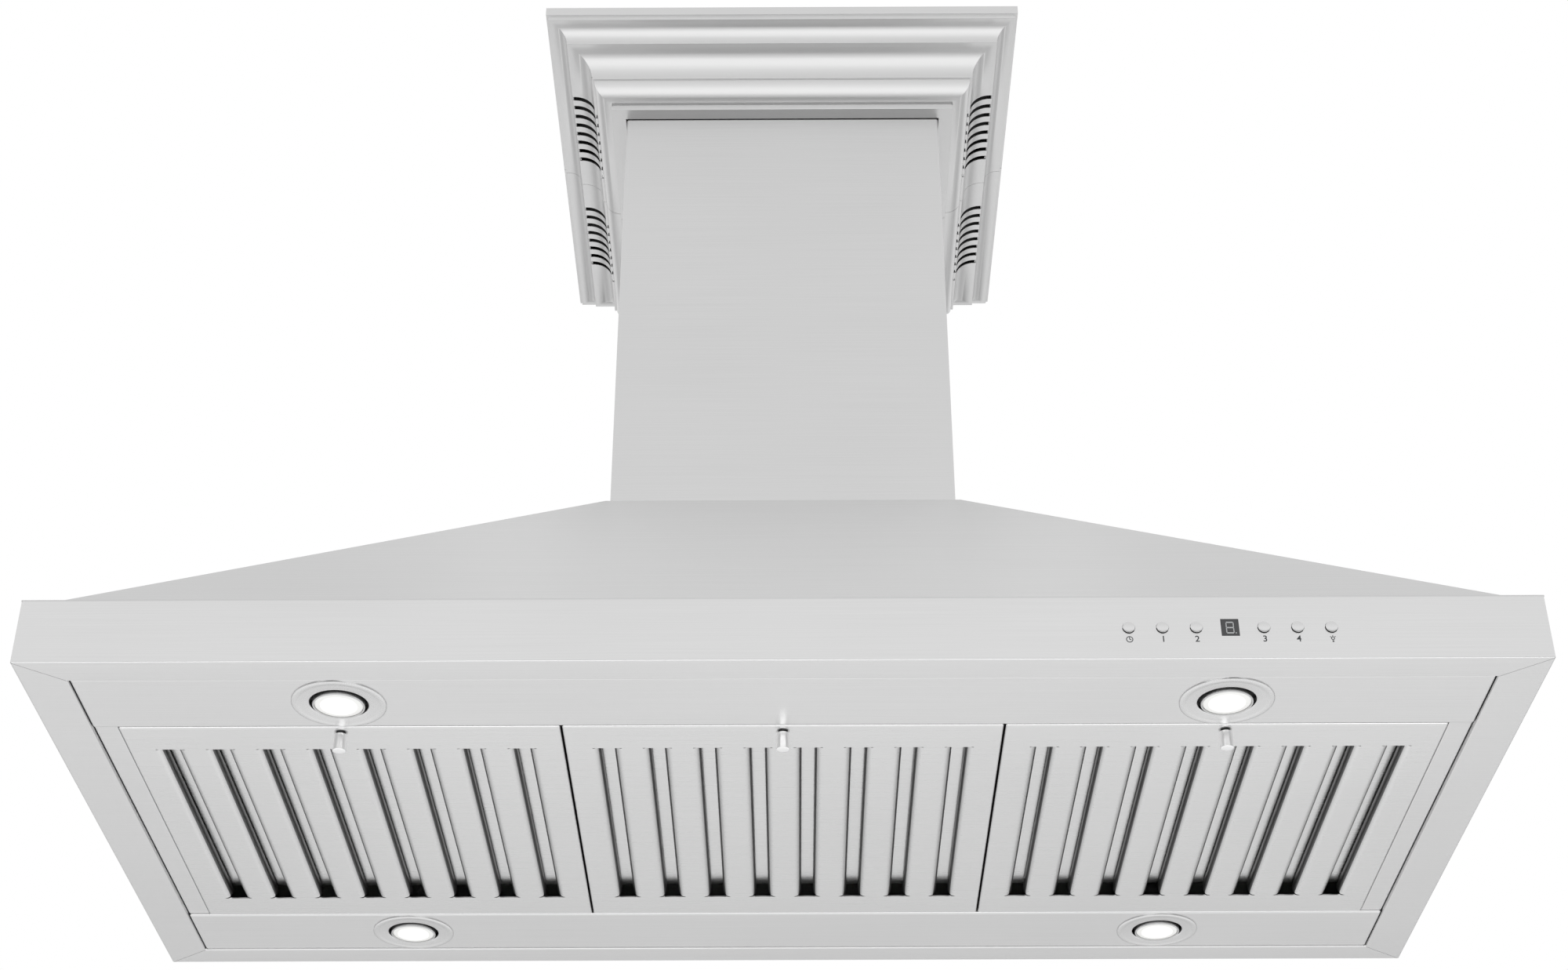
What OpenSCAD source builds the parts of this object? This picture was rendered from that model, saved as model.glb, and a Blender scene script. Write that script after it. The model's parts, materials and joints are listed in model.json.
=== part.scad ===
// Island range hood: low pyramid canopy, square chimney and a stepped ceiling crown.
// The origin is the centre of the ceiling plane, +Z is up and the controls face -Y.

/* [Overall] */
// Width of the canopy, left to right
hood_w = 1200; // [1000:10:1500]
// Depth of the canopy, front to back
hood_d = 600; // [540:10:780]
// Height from the canopy's rim to the ceiling
hood_h = 764; // [760:2:1100]
// Thickness of the outer steel sheet
sheet_t = 1.2; // [0.8:0.1:1.5]

/* [Canopy] */
// Height of the upright band
band_h = 56.5; // [50:0.5:80]
// Rise of the sloping roof above the band
roof_rise = 185; // [140:5:240]
// Flat step between the band and the slope
roof_step = 8; // [4:1:20]
// Width of the rim flange at the two sides
rim_side = 38; // [25:1:50]
// Width of the rim flange at front and back
rim_front = 30; // [20:1:40]
// Height of the lip turned up inside the rim
lip_h = 14; // [10:1:20]
// Lift of the panels and filters above the rim
face_lift = 1.2; // [1:0.1:5]

/* [Light panels] */
// Width of each light panel, front to back
panel_w = 80.5; // [78:0.5:110]
// Gap round the panels and the filters
panel_gap = 0.5; // [0.5:0.1:2]
// Width of the strip beside the outer filters
strip_w = 20; // [15:1:40]
// Distance of the lamps from the centre line
lamp_x = 355; // [200:5:400]
// Outer radius of a lamp's trim ring
trim_r = 38; // [34:0.5:38]
// Radius of the opening in the trim ring
trim_open_r = 23.5; // [22.5:0.5:26]
// Outer radius of the cup behind the trim ring
cup_r = 32; // [31:0.5:33]
// Radius of the tilting lamp head
head_r = 21; // [18:0.5:21]
// Radius of the lamp's lens
lens_r = 19.5; // [12:0.5:19.5]

/* [Filters] */
// Gap between two filters
filter_gap = 1.5; // [1:0.5:5]
// Height of a filter
filter_h = 18; // [17:1:25]
// Thickness of the filter's sheet
filter_t = 1; // [0.8:0.1:1.2]
// Distance between two slots
slot_pitch = 41.6; // [41:0.2:60]
// Clear width of a slot
slot_w = 11; // [8:1:12]
// Radius of the curled edge of a slot
curl_r = 6.5; // [4:0.5:6.5]
// Height of the curled edge above the face
curl_h = 9; // [7:0.5:10]
// Flat margin in front of and behind the slots
slot_margin = 38; // [30:1:60]
// Radius of the pull knob
knob_r = 5.5; // [4:0.5:6]
// Length of the pull knob
knob_l = 16; // [12:1:25]

/* [Controls] */
// Centre of the control group, right of the centre line
control_x = 350; // [200:5:380]
// Height of the controls above the rim
control_z = 28; // [26:1:30]
// Distance between two buttons
button_pitch = 26.4; // [20:0.2:30]
// Radius of a button
button_r = 4.75; // [4:0.25:6]
// How far a button stands out of the band
button_out = 1.8; // [1.6:0.1:3]
// Travel of a button
button_travel = 1.5; // [1:0.1:2]
// Width of the display window
display_w = 14; // [10:1:16]
// Height of the display window
display_h = 15; // [10:1:20]

/* [Chimney and frame] */
// Width of the square chimney
chimney_w = 304; // [300:2:380]
// Space between the frame and the chimney's wall
frame_space = 10.8; // [9.2:0.4:16]
// Thickness of the frame's plates
frame_t = 3; // [2:0.5:4]
// Width of a post's leg
post_w = 25; // [20:1:30]
// Inset of the ceiling bolts from the frame's edge
bolt_inset = 20; // [18:1:25]
// Radius of the ceiling bolt holes
bolt_hole_r = 4.5; // [3.5:0.5:6]
// Opening in the middle of the ceiling bracket
bracket_open = 200; // [180:5:200]

/* [Crown] */
// Height of the crown
crown_h = 76; // [76:1:110]
// How far the crown stands out from the chimney
crown_out = 76.5; // [76:0.5:100]
// Gap between the chimney and the crown
crown_gap = 0.8; // [0.5:0.1:2]
// Gap at the seam of the two crown halves
seam_gap = 0.4; // [0.2:0.1:1]
// Slots in each sound grille
grille_n = 8; // [4:1:8]
// Distance between two grille slots
grille_pitch = 13; // [8:0.5:13]
// Width of a grille slot
grille_w = 3.6; // [2:0.2:5]

/* [Blower and duct] */
// Radius of the blower wheel
wheel_r = 78; // [60:1:80]
// Radius of the scroll around the wheel
scroll_r = 110; // [105:1:110]
// Width of the blower scroll
scroll_w = 110; // [100:5:120]
// Radius of the motor
motor_r = 45; // [35:1:50]
// Outer radius of the duct collar
duct_r = 75; // [60:1:75]
// Height of the duct collar
duct_h = 85; // [80:1:100]

/* [Hidden] */
FILTERS = ["left", "middle", "right"];
LAMPS = ["front_left", "front_right", "rear_left", "rear_right"];

$fn = 64;
steel = "lightgray";
galvanised = "darkgray";

// Levels
z_rim = -hood_h;
z_face = z_rim + face_lift;
z_band = z_rim + band_h;
z_roof = z_band + roof_rise;

// Canopy opening
rim_x = hood_w / 2 - rim_side;
rim_y = hood_d / 2 - rim_front;
filter_y = rim_y - panel_w;
filter_x = rim_x - strip_w;

// Roof
roof_x = hood_w / 2 - roof_step;
roof_y = hood_d / 2 - roof_step;
roof_ledge = 4;
roof_top = chimney_w / 2 + roof_ledge;

// Panels, strips and dividers
strip_lift = 2;
divider_w = 30;
divider_end = 12;
divider_t = 1.5;
divider_gap = 1;
lamp_fit = 0.3;

// Panel screws
screw_end = 450;
screw_pitch = 300;
screw_side = 120;
screw_up = 7;
screw_r = 1.5;
screw_fit = 0.1;
screw_head_r = 3.2;
screw_head_h = 2;
screw_end_l = 5;

// Frame inside the chimney
frame_x = chimney_w / 2 - sheet_t - frame_space;
post_t = 2.5;
post_out = frame_x - frame_t;
flange_h = 60;
roof_hole = frame_x + 1;
bolt_r = 3;
bolt_fit = 0.3;
bolt_head_r = 5;
bolt_head_h = 3;
bolt_row = flange_h / 2;
cable_slot_r = 14;
ring_in = 3;

// Filters
filter_w = (2 * filter_x - 2 * filter_gap - 2 * panel_gap) / 3;
filter_d = 2 * (filter_y - panel_gap) - 1;
slot_edge = 10;
slot_n = floor((filter_w - 2 * slot_edge) / slot_pitch);
slot_span = slot_w + 2 * curl_r;
slot_y = filter_d / 2 - slot_margin;
channel_w = slot_w + 11;
strap_w = 12;
channel_top = filter_h - 6;
channel_leg = 7;
channel_end = 4;
strap_y = 0.7 * slot_y;
knob_y = -filter_d / 2 + 11;
knob_neck = 1;
knob_stem_r = 2;
knob_nut_r = 4.5;

// Lamps
lamp_y = (rim_y + filter_y) / 2;
trim_t = 1.5;
cup_t = 2.5;
cup_h = 34;
pivot_up = 3;
head_down = 6;
head_up = 20;
pin_r = 2;
pin_fit = 0.05;
pin_in = 5;
lens_t = 2;

// Controls
button_fit = 0.35;
button_rim = 1.2;
button_play = 0.2;
box_y = -hood_d / 2 + sheet_t + button_play + button_rim + button_travel + 2.1;
box_d = 20;
button_dome_r = 8;
stem_r = 3;
box_side = 10;
box_below = 11;
box_above = 15;
box_t = 2;

// Junction box and LED driver
junction_w = 80;
junction_d = 32;
junction_h = 50;
junction_t = 2;
gland_r = 10;
gland_out_r = 13;
gland_h = 16;
driver_w = 140;
driver_d = 40;
driver_h = 30;

// Crown, as steps out from the chimney
crown_in = chimney_w / 2 + crown_gap;
crown_s = chimney_w / 2 + crown_out;
bead_h = 4.2;
cove1_r = 14;
cove1_foot = 1.5;
cove2_r = 21;
cove2_foot = 3;
ovolo_r = 16;
plinth_h = 7;
bead_in = 2.5;
cove1_in = 5.5;
cove2_in = 22;
ovolo_in = 61.5;
fascia_h = crown_h - bead_h - cove1_r - cove1_foot - cove2_r - cove2_foot - ovolo_r - plinth_h;
crown_lip = 14;
grille_y = 85.5;
clip_y = 110;
clip_w = 30;
clip_l = 30;
clip_t = 2;
clip_hole_r = 2.5;

// Speakers and amplifier behind the crown
speaker_space = 3;
speaker_fit = 0.5;
speaker_t = 2;
speaker_w = 104;
speaker_top = 10;
speaker_bottom = 58;
speaker_pitch = 48;
speaker_drop = 26;
magnet_r = 11;
magnet_h = 12;
cone_r = 17;
cone_h = 8;
amplifier_w = 80;
amplifier_d = 28;
amplifier_h = 50;

// Blower
wheel_z = z_roof + 82;
shelf_z = wheel_z + 140;
shelf_t = 2;
scroll_x = -90;
throat_h = 42;
plenum_x = 90;
housing_t = 1.5;
shaft_r = 4;
shaft_fit = 0.05;
wheel_w = scroll_w - 24;
blade_n = 24;
inlet_r = 60;
motor_l = 75;
motor_flange = 12;
motor_hub_r = 18;
wheel_side = 10;
wheel_ring = 12;
hub_r = 12;

// Damper
collar_t = 1.5;
rod_r = 2;
rod_z = shelf_z + 12;
flap_r = duct_r - collar_t - 2.5;
flap_t = 0.8;
flap_fit = 0.06;
collar_flange = 12;
knuckle_w = 28;
knuckle_r = 3.2;

function filter_cx(i) = (i - 1) * (filter_w + filter_gap);
function lamp_pos(i) = [(i % 2 == 0 ? -1 : 1) * lamp_x, (i < 2 ? -1 : 1) * lamp_y];
function button_x(i) = control_x + (i < 4 ? i - 4 : i - 3) * button_pitch;
function slot_x(k) = (k - (slot_n - 1) / 2) * slot_pitch;

// ---- general shapes ----

// Box from its half sizes in X and Y and its two levels in Z
module block(hx, hy, z0, z1) {
  translate([-hx, -hy, z0]) cube([2 * hx, 2 * hy, z1 - z0]);
}

// Box between two corners
module span(a, b) {
  translate(a) cube(b - a);
}

// Open rectangular tube
module tube_box(hx, hy, t, z0, z1) {
  difference() {
    block(hx, hy, z0, z1);
    block(hx - t, hy - t, z0 - 1, z1 + 1);
  }
}

// Folded pan: a flat face with its four edges turned up
module pan(a, b, z0, h, t) {
  difference() {
    span([a[0], a[1], z0], [b[0], b[1], z0 + h]);
    span([a[0] + t, a[1] + t, z0 + t], [b[0] - t, b[1] - t, z0 + h + 1]);
  }
}

// Solid pyramid stump from its bottom and top half sizes
module stump(bx, by, tx, ty, z0, z1) {
  intersection() {
    rotate([90, 0, 0]) linear_extrude(2 * by, center = true)
      polygon([[-bx, z0], [bx, z0], [tx, z1], [-tx, z1]]);
    rotate([90, 0, 90]) linear_extrude(2 * bx, center = true)
      polygon([[-by, z0], [by, z0], [ty, z1], [-ty, z1]]);
  }
}

module four_turns() {
  for (a = [0:90:270]) rotate(a) children();
}

module post_corners() {
  for (mx = [0, 1]) for (my = [0, 1]) mirror([mx, 0, 0]) mirror([0, my, 0]) children();
}

// ---- canopy ----

module canopy_skirt() {
  color(steel) difference() {
    union() {
      tube_box(hood_w / 2, hood_d / 2, sheet_t, z_rim, z_band - sheet_t);
      difference() {
        block(hood_w / 2, hood_d / 2, z_rim, z_rim + sheet_t);
        block(rim_x, rim_y, z_rim - 1, z_band);
      }
      tube_box(rim_x + sheet_t, rim_y + sheet_t, sheet_t, z_rim, z_rim + lip_h);
    }
    for (i = [1:6]) translate([button_x(i), -hood_d / 2, z_rim + control_z])
      rotate([90, 0, 0]) cylinder(h = 10, r = button_r + button_fit, center = true);
    translate([control_x, -hood_d / 2, z_rim + control_z])
      cube([display_w + 0.2, 10, display_h + 0.2], center = true);
    panel_screw_holes();
  }
}

module canopy_roof() {
  slope_x = (roof_x - roof_top) / roof_rise;
  slope_y = (roof_y - roof_top) / roof_rise;
  in_x = sheet_t * sqrt(1 + slope_x * slope_x);
  in_y = sheet_t * sqrt(1 + slope_y * slope_y);
  color(steel) difference() {
    union() {
      block(hood_w / 2, hood_d / 2, z_band - sheet_t, z_band);
      stump(roof_x, roof_y, roof_top, roof_top, z_band, z_roof);
    }
    difference() {
      stump(roof_x - in_x + 2 * slope_x, roof_y - in_y + 2 * slope_y,
        roof_top - in_x, roof_top - in_y, z_band - 2, z_roof);
      block(roof_top, roof_top, z_roof - sheet_t, z_roof + 1);
    }
    block(roof_hole, roof_hole, z_roof - 10, z_roof + 1);
    roof_bolt_axes() cylinder(h = 20, r = bolt_r + bolt_fit, center = true);
  }
}

module light_panel(side) {
  y0 = side < 0 ? -rim_y + panel_gap : filter_y + panel_gap / 2;
  y1 = side < 0 ? -filter_y - panel_gap / 2 : rim_y - panel_gap;
  color(steel) difference() {
    pan([-rim_x + panel_gap, y0], [rim_x - panel_gap, y1], z_face, lip_h, sheet_t);
    for (x = [-lamp_x, lamp_x]) translate([x, side * lamp_y, z_face])
      cylinder(h = 10, r = cup_r + lamp_fit, center = true);
    panel_screw_holes();
  }
}

module side_strip(side) {
  x0 = filter_x + panel_gap / 2;
  x1 = rim_x - panel_gap;
  a = side < 0 ? -x1 : x0;
  b = side < 0 ? -x0 : x1;
  color(steel) difference() {
    pan([a, -filter_y], [b, filter_y], z_face + strip_lift, lip_h - strip_lift, sheet_t);
    panel_screw_holes();
  }
}

// Bars that run over the gaps between the filters
module filter_dividers() {
  color(galvanised) for (s = [-1, 1]) {
    x = s * (filter_w + filter_gap) / 2;
    y = filter_y + divider_end;
    z = z_face + filter_h + divider_gap;
    span([x - divider_w / 2, -y, z], [x + divider_w / 2, y, z + divider_t]);
  }
}

module panel_screw_axes() {
  for (x = [-screw_end:screw_pitch:screw_end]) for (s = [0, 1]) mirror([0, s, 0])
    translate([x, -rim_y, z_face + screw_up]) rotate([90, 0, 0]) children();
  for (s = [0, 1]) mirror([s, 0, 0]) for (y = [-screw_side, screw_side])
    translate([-rim_x, y, z_face + screw_up]) rotate([0, -90, 0]) children();
}

module panel_screw_holes() {
  panel_screw_axes() cylinder(h = 12, r = screw_r + screw_fit, center = true, $fn = 24);
}

module panel_screws() {
  reach = panel_gap + sheet_t;
  color("silver") panel_screw_axes() {
    translate([0, 0, -reach - screw_head_h]) {
      cylinder(h = reach + sheet_t + screw_end_l, r = screw_r, $fn = 24);
      cylinder(h = screw_head_h, r = screw_head_r, $fn = 24);
    }
  }
}

// ---- filters ----

module curl(side) {
  translate([side * (slot_w / 2 + curl_r), curl_r]) difference() {
    circle(r = curl_r);
    circle(r = curl_r - filter_t);
    translate([side > 0 ? 0 : -2 * curl_r, -curl_r - 1]) square([2 * curl_r, 2 * curl_r + 2]);
    translate([-curl_r - 1, 0]) square([2 * curl_r + 2, curl_r + 2]);
  }
  translate([side * (slot_w + filter_t) / 2 - filter_t / 2, curl_r]) square([filter_t, curl_h - curl_r]);
}

module filter_tray(i) {
  w = filter_w / 2;
  d = filter_d / 2;
  color(steel) translate([filter_cx(i), 0, z_face]) {
    difference() {
      pan([-w, -d], [w, d], 0, filter_h, filter_t);
      for (k = [0:slot_n - 1]) translate([slot_x(k), 0, 0])
        block(slot_span / 2, slot_y, -1, filter_t + 1);
      translate([0, knob_y, -1]) cylinder(h = 5, r = knob_stem_r + bolt_fit);
    }
    rotate([90, 0, 0]) linear_extrude(2 * slot_y, center = true)
      for (k = [0:slot_n - 1]) translate([slot_x(k), 0]) {
        curl(1);
        curl(-1);
      }
  }
}

// Channels over the slots, tied together by two straps
module filter_baffles(i) {
  half = filter_w / 2 - filter_t;
  color(galvanised) translate([filter_cx(i), 0, z_face]) {
    rotate([90, 0, 0]) linear_extrude(2 * (slot_y - channel_end), center = true)
      for (k = [0:slot_n - 1]) translate([slot_x(k) - channel_w / 2, channel_top - channel_leg])
        difference() {
          square([channel_w, channel_leg]);
          translate([filter_t, -1]) square([channel_w - 2 * filter_t, channel_leg + 1 - filter_t]);
        }
    for (y = [-strap_y, strap_y])
      span([-half, y - strap_w / 2, channel_top], [half, y + strap_w / 2, channel_top + filter_t]);
  }
}

module filter_knob(i) {
  color("silver") translate([filter_cx(i), knob_y, z_face]) {
    translate([0, 0, -knob_l]) cylinder(h = knob_l - knob_neck, r = knob_r);
    translate([0, 0, -knob_neck - 1]) cylinder(h = knob_neck + 1, r = knob_r - 1.5);
    translate([0, 0, -1]) cylinder(h = 8, r = knob_stem_r);
    translate([0, 0, filter_t]) cylinder(h = 3, r = knob_nut_r, $fn = 6);
  }
}

// ---- lamps ----

module at_lamp(i) {
  translate([lamp_pos(i)[0], lamp_pos(i)[1], z_face]) children();
}

module lamp_trim(i) {
  color(steel) at_lamp(i) {
    difference() {
      union() {
        translate([0, 0, -trim_t]) cylinder(h = trim_t, r = trim_r);
        cylinder(h = cup_h, r = cup_r);
      }
      translate([0, 0, -trim_t - 1]) cylinder(h = 10, r = trim_open_r);
      cylinder(h = cup_h - cup_t, r = cup_r - cup_t);
    }
    for (a = [0, 180]) rotate(a) translate([head_r - pin_in, 0, pivot_up])
      rotate([0, 90, 0]) cylinder(h = cup_r - cup_t + 1 - head_r + pin_in, r = pin_r);
  }
}

module lamp_head(i) {
  color("silver") at_lamp(i) translate([0, 0, pivot_up]) difference() {
    translate([0, 0, -head_down]) cylinder(h = head_down + head_up, r = head_r);
    translate([0, 0, -head_down - 1]) cylinder(h = lens_t + 1, r = lens_r);
    for (a = [0, 180]) rotate(a) translate([head_r - pin_in - 0.5, 0, 0])
      rotate([0, 90, 0]) cylinder(h = 20, r = pin_r + pin_fit);
  }
}

module lamp_lens(i) {
  color("white") at_lamp(i) translate([0, 0, pivot_up - head_down])
    cylinder(h = lens_t, r = lens_r);
}

// ---- chimney and frame ----

module chimney_cover() {
  color(steel) tube_box(chimney_w / 2, chimney_w / 2, sheet_t, z_roof, -2);
}

module ceiling_bracket() {
  color(galvanised) difference() {
    union() {
      block(frame_x, frame_x, -frame_t, 0);
      tube_box(frame_x, frame_x, frame_t, -flange_h - frame_t, 0);
    }
    block(bracket_open / 2, bracket_open / 2, -10, 1);
    post_corners() translate([frame_x - bolt_inset, frame_x - bolt_inset, -10])
      cylinder(h = 20, r = bolt_hole_r);
    span([-frame_x + bolt_inset - cable_slot_r, -cable_slot_r, -10], [0, cable_slot_r, 1]);
    frame_bolt_axes(-bolt_row) cylinder(h = 20, r = bolt_r + bolt_fit, center = true);
  }
}

module support_posts() {
  z0 = z_roof - flange_h;
  color(galvanised) difference() {
    post_corners() difference() {
      span([post_out - post_w, post_out - post_w, z0], [post_out, post_out, -frame_t]);
      span([post_out - post_w - 1, post_out - post_w - 1, z0 - 1],
        [post_out - post_t, post_out - post_t, 0]);
    }
    frame_bolt_axes(-bolt_row) cylinder(h = 20, r = bolt_r + bolt_fit, center = true);
    frame_bolt_axes(z_roof - bolt_row) cylinder(h = 20, r = bolt_r + bolt_fit, center = true);
    shelf_bolt_axes() cylinder(h = 20, r = bolt_r + bolt_fit, center = true);
  }
}

// Ring that hangs the canopy from the posts
module lower_frame() {
  z1 = z_roof - sheet_t;
  color(galvanised) difference() {
    union() {
      tube_box(frame_x, frame_x, frame_t, z1 - flange_h + 5, z1);
      tube_box(roof_top - ring_in, roof_top - ring_in, roof_top - ring_in - frame_x + frame_t,
        z1 - frame_t, z1);
    }
    frame_bolt_axes(z_roof - bolt_row) cylinder(h = 20, r = bolt_r + bolt_fit, center = true);
    roof_bolt_axes() cylinder(h = 20, r = bolt_r + bolt_fit, center = true);
  }
}

module frame_bolt_axes(z) {
  post_corners() translate([frame_x, post_out - post_w / 2, z]) rotate([0, 90, 0]) children();
}

module shelf_bolt_axes() {
  post_corners() translate([post_out, post_out - post_w / 2, shelf_z - 10])
    rotate([0, 90, 0]) children();
}

module roof_bolt_axes() {
  four_turns() translate([frame_x + 6, 0, z_roof]) children();
}

// Bolt with its head at the origin and its nut at depth l
module bolt(l) {
  cylinder(h = bolt_head_h, r = bolt_head_r, $fn = 6);
  translate([0, 0, -l - bolt_head_h]) cylinder(h = l + bolt_head_h + 1, r = bolt_r);
  translate([0, 0, -l - bolt_head_h]) cylinder(h = bolt_head_h, r = bolt_head_r, $fn = 6);
}

module frame_bolts() {
  grip = frame_t + post_t;
  color("silver") {
    frame_bolt_axes(-bolt_row) bolt(grip);
    frame_bolt_axes(z_roof - bolt_row) bolt(grip);
    shelf_bolt_axes() bolt(post_t + shelf_t);
    roof_bolt_axes() rotate(30) bolt(sheet_t + frame_t);
  }
}

// ---- crown ----

// Rectangle of the crown's section, from the inner edge out to s and from z up to top
module crown_step(e, s, z, top) {
  translate([crown_in + e, z]) square([s - crown_in - e, top - z]);
}

// Room side of the crown's section, moved inwards by e
module crown_outline(e, top) {
  c = crown_s;
  z1 = -fascia_h;
  z2 = z1 - bead_h;
  z3 = z2 - cove1_r - cove1_foot;
  z4 = z3 - cove2_r - cove2_foot;
  z5 = z4 - ovolo_r;
  c1 = c - cove1_in;
  c2 = c - cove2_in;
  c3 = c - ovolo_in;
  crown_step(e, c - e, z1 + e, top);
  crown_step(e, c - bead_in - e, z2 + e, top);
  difference() {
    crown_step(e, c1, z2 - cove1_r, top);
    translate([c1, z2 - cove1_r]) circle(r = cove1_r + e);
  }
  crown_step(e, c1 - cove1_r - e, z3 + e, top);
  difference() {
    crown_step(e, c2, z3 - cove2_r, top);
    translate([c2, z3 - cove2_r]) circle(r = cove2_r + e);
  }
  crown_step(e, c2 - cove2_r - e, z4 + e, top);
  crown_step(e, c3 + ovolo_r - e, z4, top);
  intersection() {
    translate([c3, z4]) circle(r = ovolo_r - e);
    crown_step(e, c3 + ovolo_r, z5, top);
  }
  crown_step(e, c3, z5 + e, top);
  crown_step(e, c3 - 2 - e, -crown_h + e, top);
  crown_step(e, c3 - 0.5 - e, -crown_h + e, z5 - 2 - e);
}

module crown_section() {
  difference() {
    crown_outline(0, 0);
    crown_outline(sheet_t, 5);
    translate([crown_in - 1, -crown_h + crown_lip]) square([sheet_t + 2, crown_h]);
  }
}

// One side of the crown, cut to its mitres
module crown_side() {
  intersection() {
    rotate([90, 0, 0]) linear_extrude(2 * crown_s + 2, center = true) crown_section();
    linear_extrude(4 * crown_h, center = true)
      polygon([[0, 0], [crown_s + 1, -crown_s - 1], [crown_s + 1, crown_s + 1]]);
  }
}

module crown_half() {
  color(steel) difference() {
    union() for (a = [-180, -90, 0]) rotate(a) crown_side();
    span([-crown_s - 5, -seam_gap / 2, -crown_h - 5], [crown_s + 5, crown_s + 5, 5]);
    for (m = [0, 1]) mirror([m, 0, 0]) for (k = [0:grille_n - 1])
      translate([crown_s, -grille_y + (k - (grille_n - 1) / 2) * grille_pitch, 0]) grille_cut();
  }
}

// One slot across the second cove, with the small hole under the cove's foot
module grille_cut() {
  ledge_z = -fascia_h - bead_h - cove1_r - cove1_foot;
  foot_z = ledge_z - cove2_r - cove2_foot;
  foot_x = -cove2_in - cove2_r;
  w = grille_w / 2;
  span([foot_x + 1.5, -w, ledge_z - cove2_r + 2], [-cove1_in - cove1_r - 0.5, w, ledge_z + 3]);
  span([foot_x - 2.4, -w + 0.4, foot_z - 1], [foot_x + 0.6, w - 0.4, foot_z + 2]);
}

module crown_front() {
  crown_half();
}

module crown_rear() {
  mirror([0, 1, 0]) crown_half();
}

// Angle clips that hold the crown to the ceiling
module crown_fixings() {
  x = crown_s - sheet_t;
  color(galvanised) four_turns() for (y = [-clip_y, clip_y]) translate([0, y, 0]) difference() {
    union() {
      span([x - clip_l, -clip_w / 2, -clip_t], [x, clip_w / 2, 0]);
      span([x - clip_t, -clip_w / 2, -fascia_h + 2], [x, clip_w / 2, 0]);
    }
    translate([x - clip_l * 2 / 3, 0, -5]) cylinder(h = 10, r = clip_hole_r);
  }
}

// Two drivers in a housing that fills the crown behind a grille and is open towards it
module speaker(i) {
  sx = i % 2 == 0 ? 1 : 0;
  y = (i < 2 ? -1 : 1) * grille_y;
  x = crown_in + sheet_t + speaker_space;
  z = -fascia_h - speaker_drop;
  w = speaker_w / 2;
  t = speaker_t;
  color("dimgray") mirror([sx, 0, 0]) {
    intersection() {
      translate([0, y, 0]) rotate([90, 0, 0]) linear_extrude(speaker_w, center = true)
        crown_outline(sheet_t + speaker_fit, 5);
      difference() {
        span([x, y - w, -speaker_bottom], [crown_s, y + w, -speaker_top]);
        span([x + t, y - w + t, t - speaker_bottom], [crown_s + 1, y + w - t, -speaker_top - t]);
      }
    }
    for (d = [-speaker_pitch / 2, speaker_pitch / 2]) translate([x, y + d, z]) rotate([0, 90, 0]) {
      cylinder(h = magnet_h, r = magnet_r);
      translate([0, 0, magnet_h - 1]) cylinder(h = cone_h, r1 = magnet_r, r2 = cone_r);
    }
  }
}

module speaker_amplifier() {
  x = frame_x - frame_t;
  color("dimgray") span([x - amplifier_d, -amplifier_w / 2, -flange_h - amplifier_h / 2],
    [x, amplifier_w / 2, -flange_h + amplifier_h / 2]);
}

// ---- blower ----

module scroll(r, x0, x1, top) {
  translate([x0, 0, 0]) rotate([90, 0, 90]) linear_extrude(x1 - x0) {
    translate([0, wheel_z]) circle(r = r);
    translate([-r, wheel_z]) square([r, top - wheel_z]);
  }
}

module blower_housing() {
  x0 = scroll_x;
  x1 = scroll_x + scroll_w;
  t = housing_t;
  s = post_out - post_t;
  color(galvanised) difference() {
    union() {
      scroll(scroll_r, x0, x1, shelf_z);
      span([x0, -scroll_r, shelf_z - throat_h], [plenum_x, plenum_x, shelf_z]);
      block(s, s, shelf_z - shelf_t, shelf_z);
      for (m = [0, 1]) mirror([m, 0, 0]) span([s - shelf_t, -s, shelf_z - 20], [s, s, shelf_z]);
    }
    scroll(scroll_r - t, x0 + t, x1 - t, shelf_z - 10);
    span([x0 + t, -scroll_r + t, shelf_z - throat_h + t], [plenum_x - t, plenum_x - t, shelf_z - shelf_t]);
    translate([0, 0, shelf_z - 5]) cylinder(h = 10, r = duct_r - collar_t);
    translate([x0 - 5, 0, wheel_z]) rotate([0, 90, 0]) cylinder(h = 10, r = inlet_r);
    translate([x1 - 5, 0, wheel_z]) rotate([0, 90, 0]) cylinder(h = 10, r = motor_r - 15);
    shelf_bolt_axes() cylinder(h = 20, r = bolt_r + bolt_fit, center = true);
  }
}

module blower_motor() {
  x1 = scroll_x + scroll_w;
  color("dimgray") translate([x1, 0, wheel_z]) rotate([0, 90, 0]) difference() {
    union() {
      cylinder(h = 4, r = motor_r + motor_flange);
      cylinder(h = motor_l, r = motor_r);
      cylinder(h = motor_l + 10, r = motor_hub_r);
    }
    translate([0, 0, -1]) cylinder(h = 61, r = shaft_r + shaft_fit);
  }
}

module blower_wheel() {
  x0 = scroll_x + housing_t + wheel_side;
  ring_w = 5;
  color(galvanised) translate([x0, 0, wheel_z]) rotate([0, 90, 0]) {
    difference() {
      cylinder(h = ring_w, r = wheel_r);
      translate([0, 0, -1]) cylinder(h = ring_w + 2, r = wheel_r - wheel_ring);
    }
    translate([0, 0, wheel_w - 3]) cylinder(h = 3, r = wheel_r);
    for (k = [0:blade_n - 1]) rotate(k * 360 / blade_n) translate([wheel_r - wheel_ring + 1, 0, 1]) rotate(35)
      cube([9, 1.5, wheel_w - 3]);
    translate([0, 0, wheel_w - 25]) cylinder(h = 25, r = hub_r);
    translate([0, 0, wheel_w - 30]) cylinder(h = 90, r = shaft_r);
  }
}

// ---- duct collar and damper ----

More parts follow.
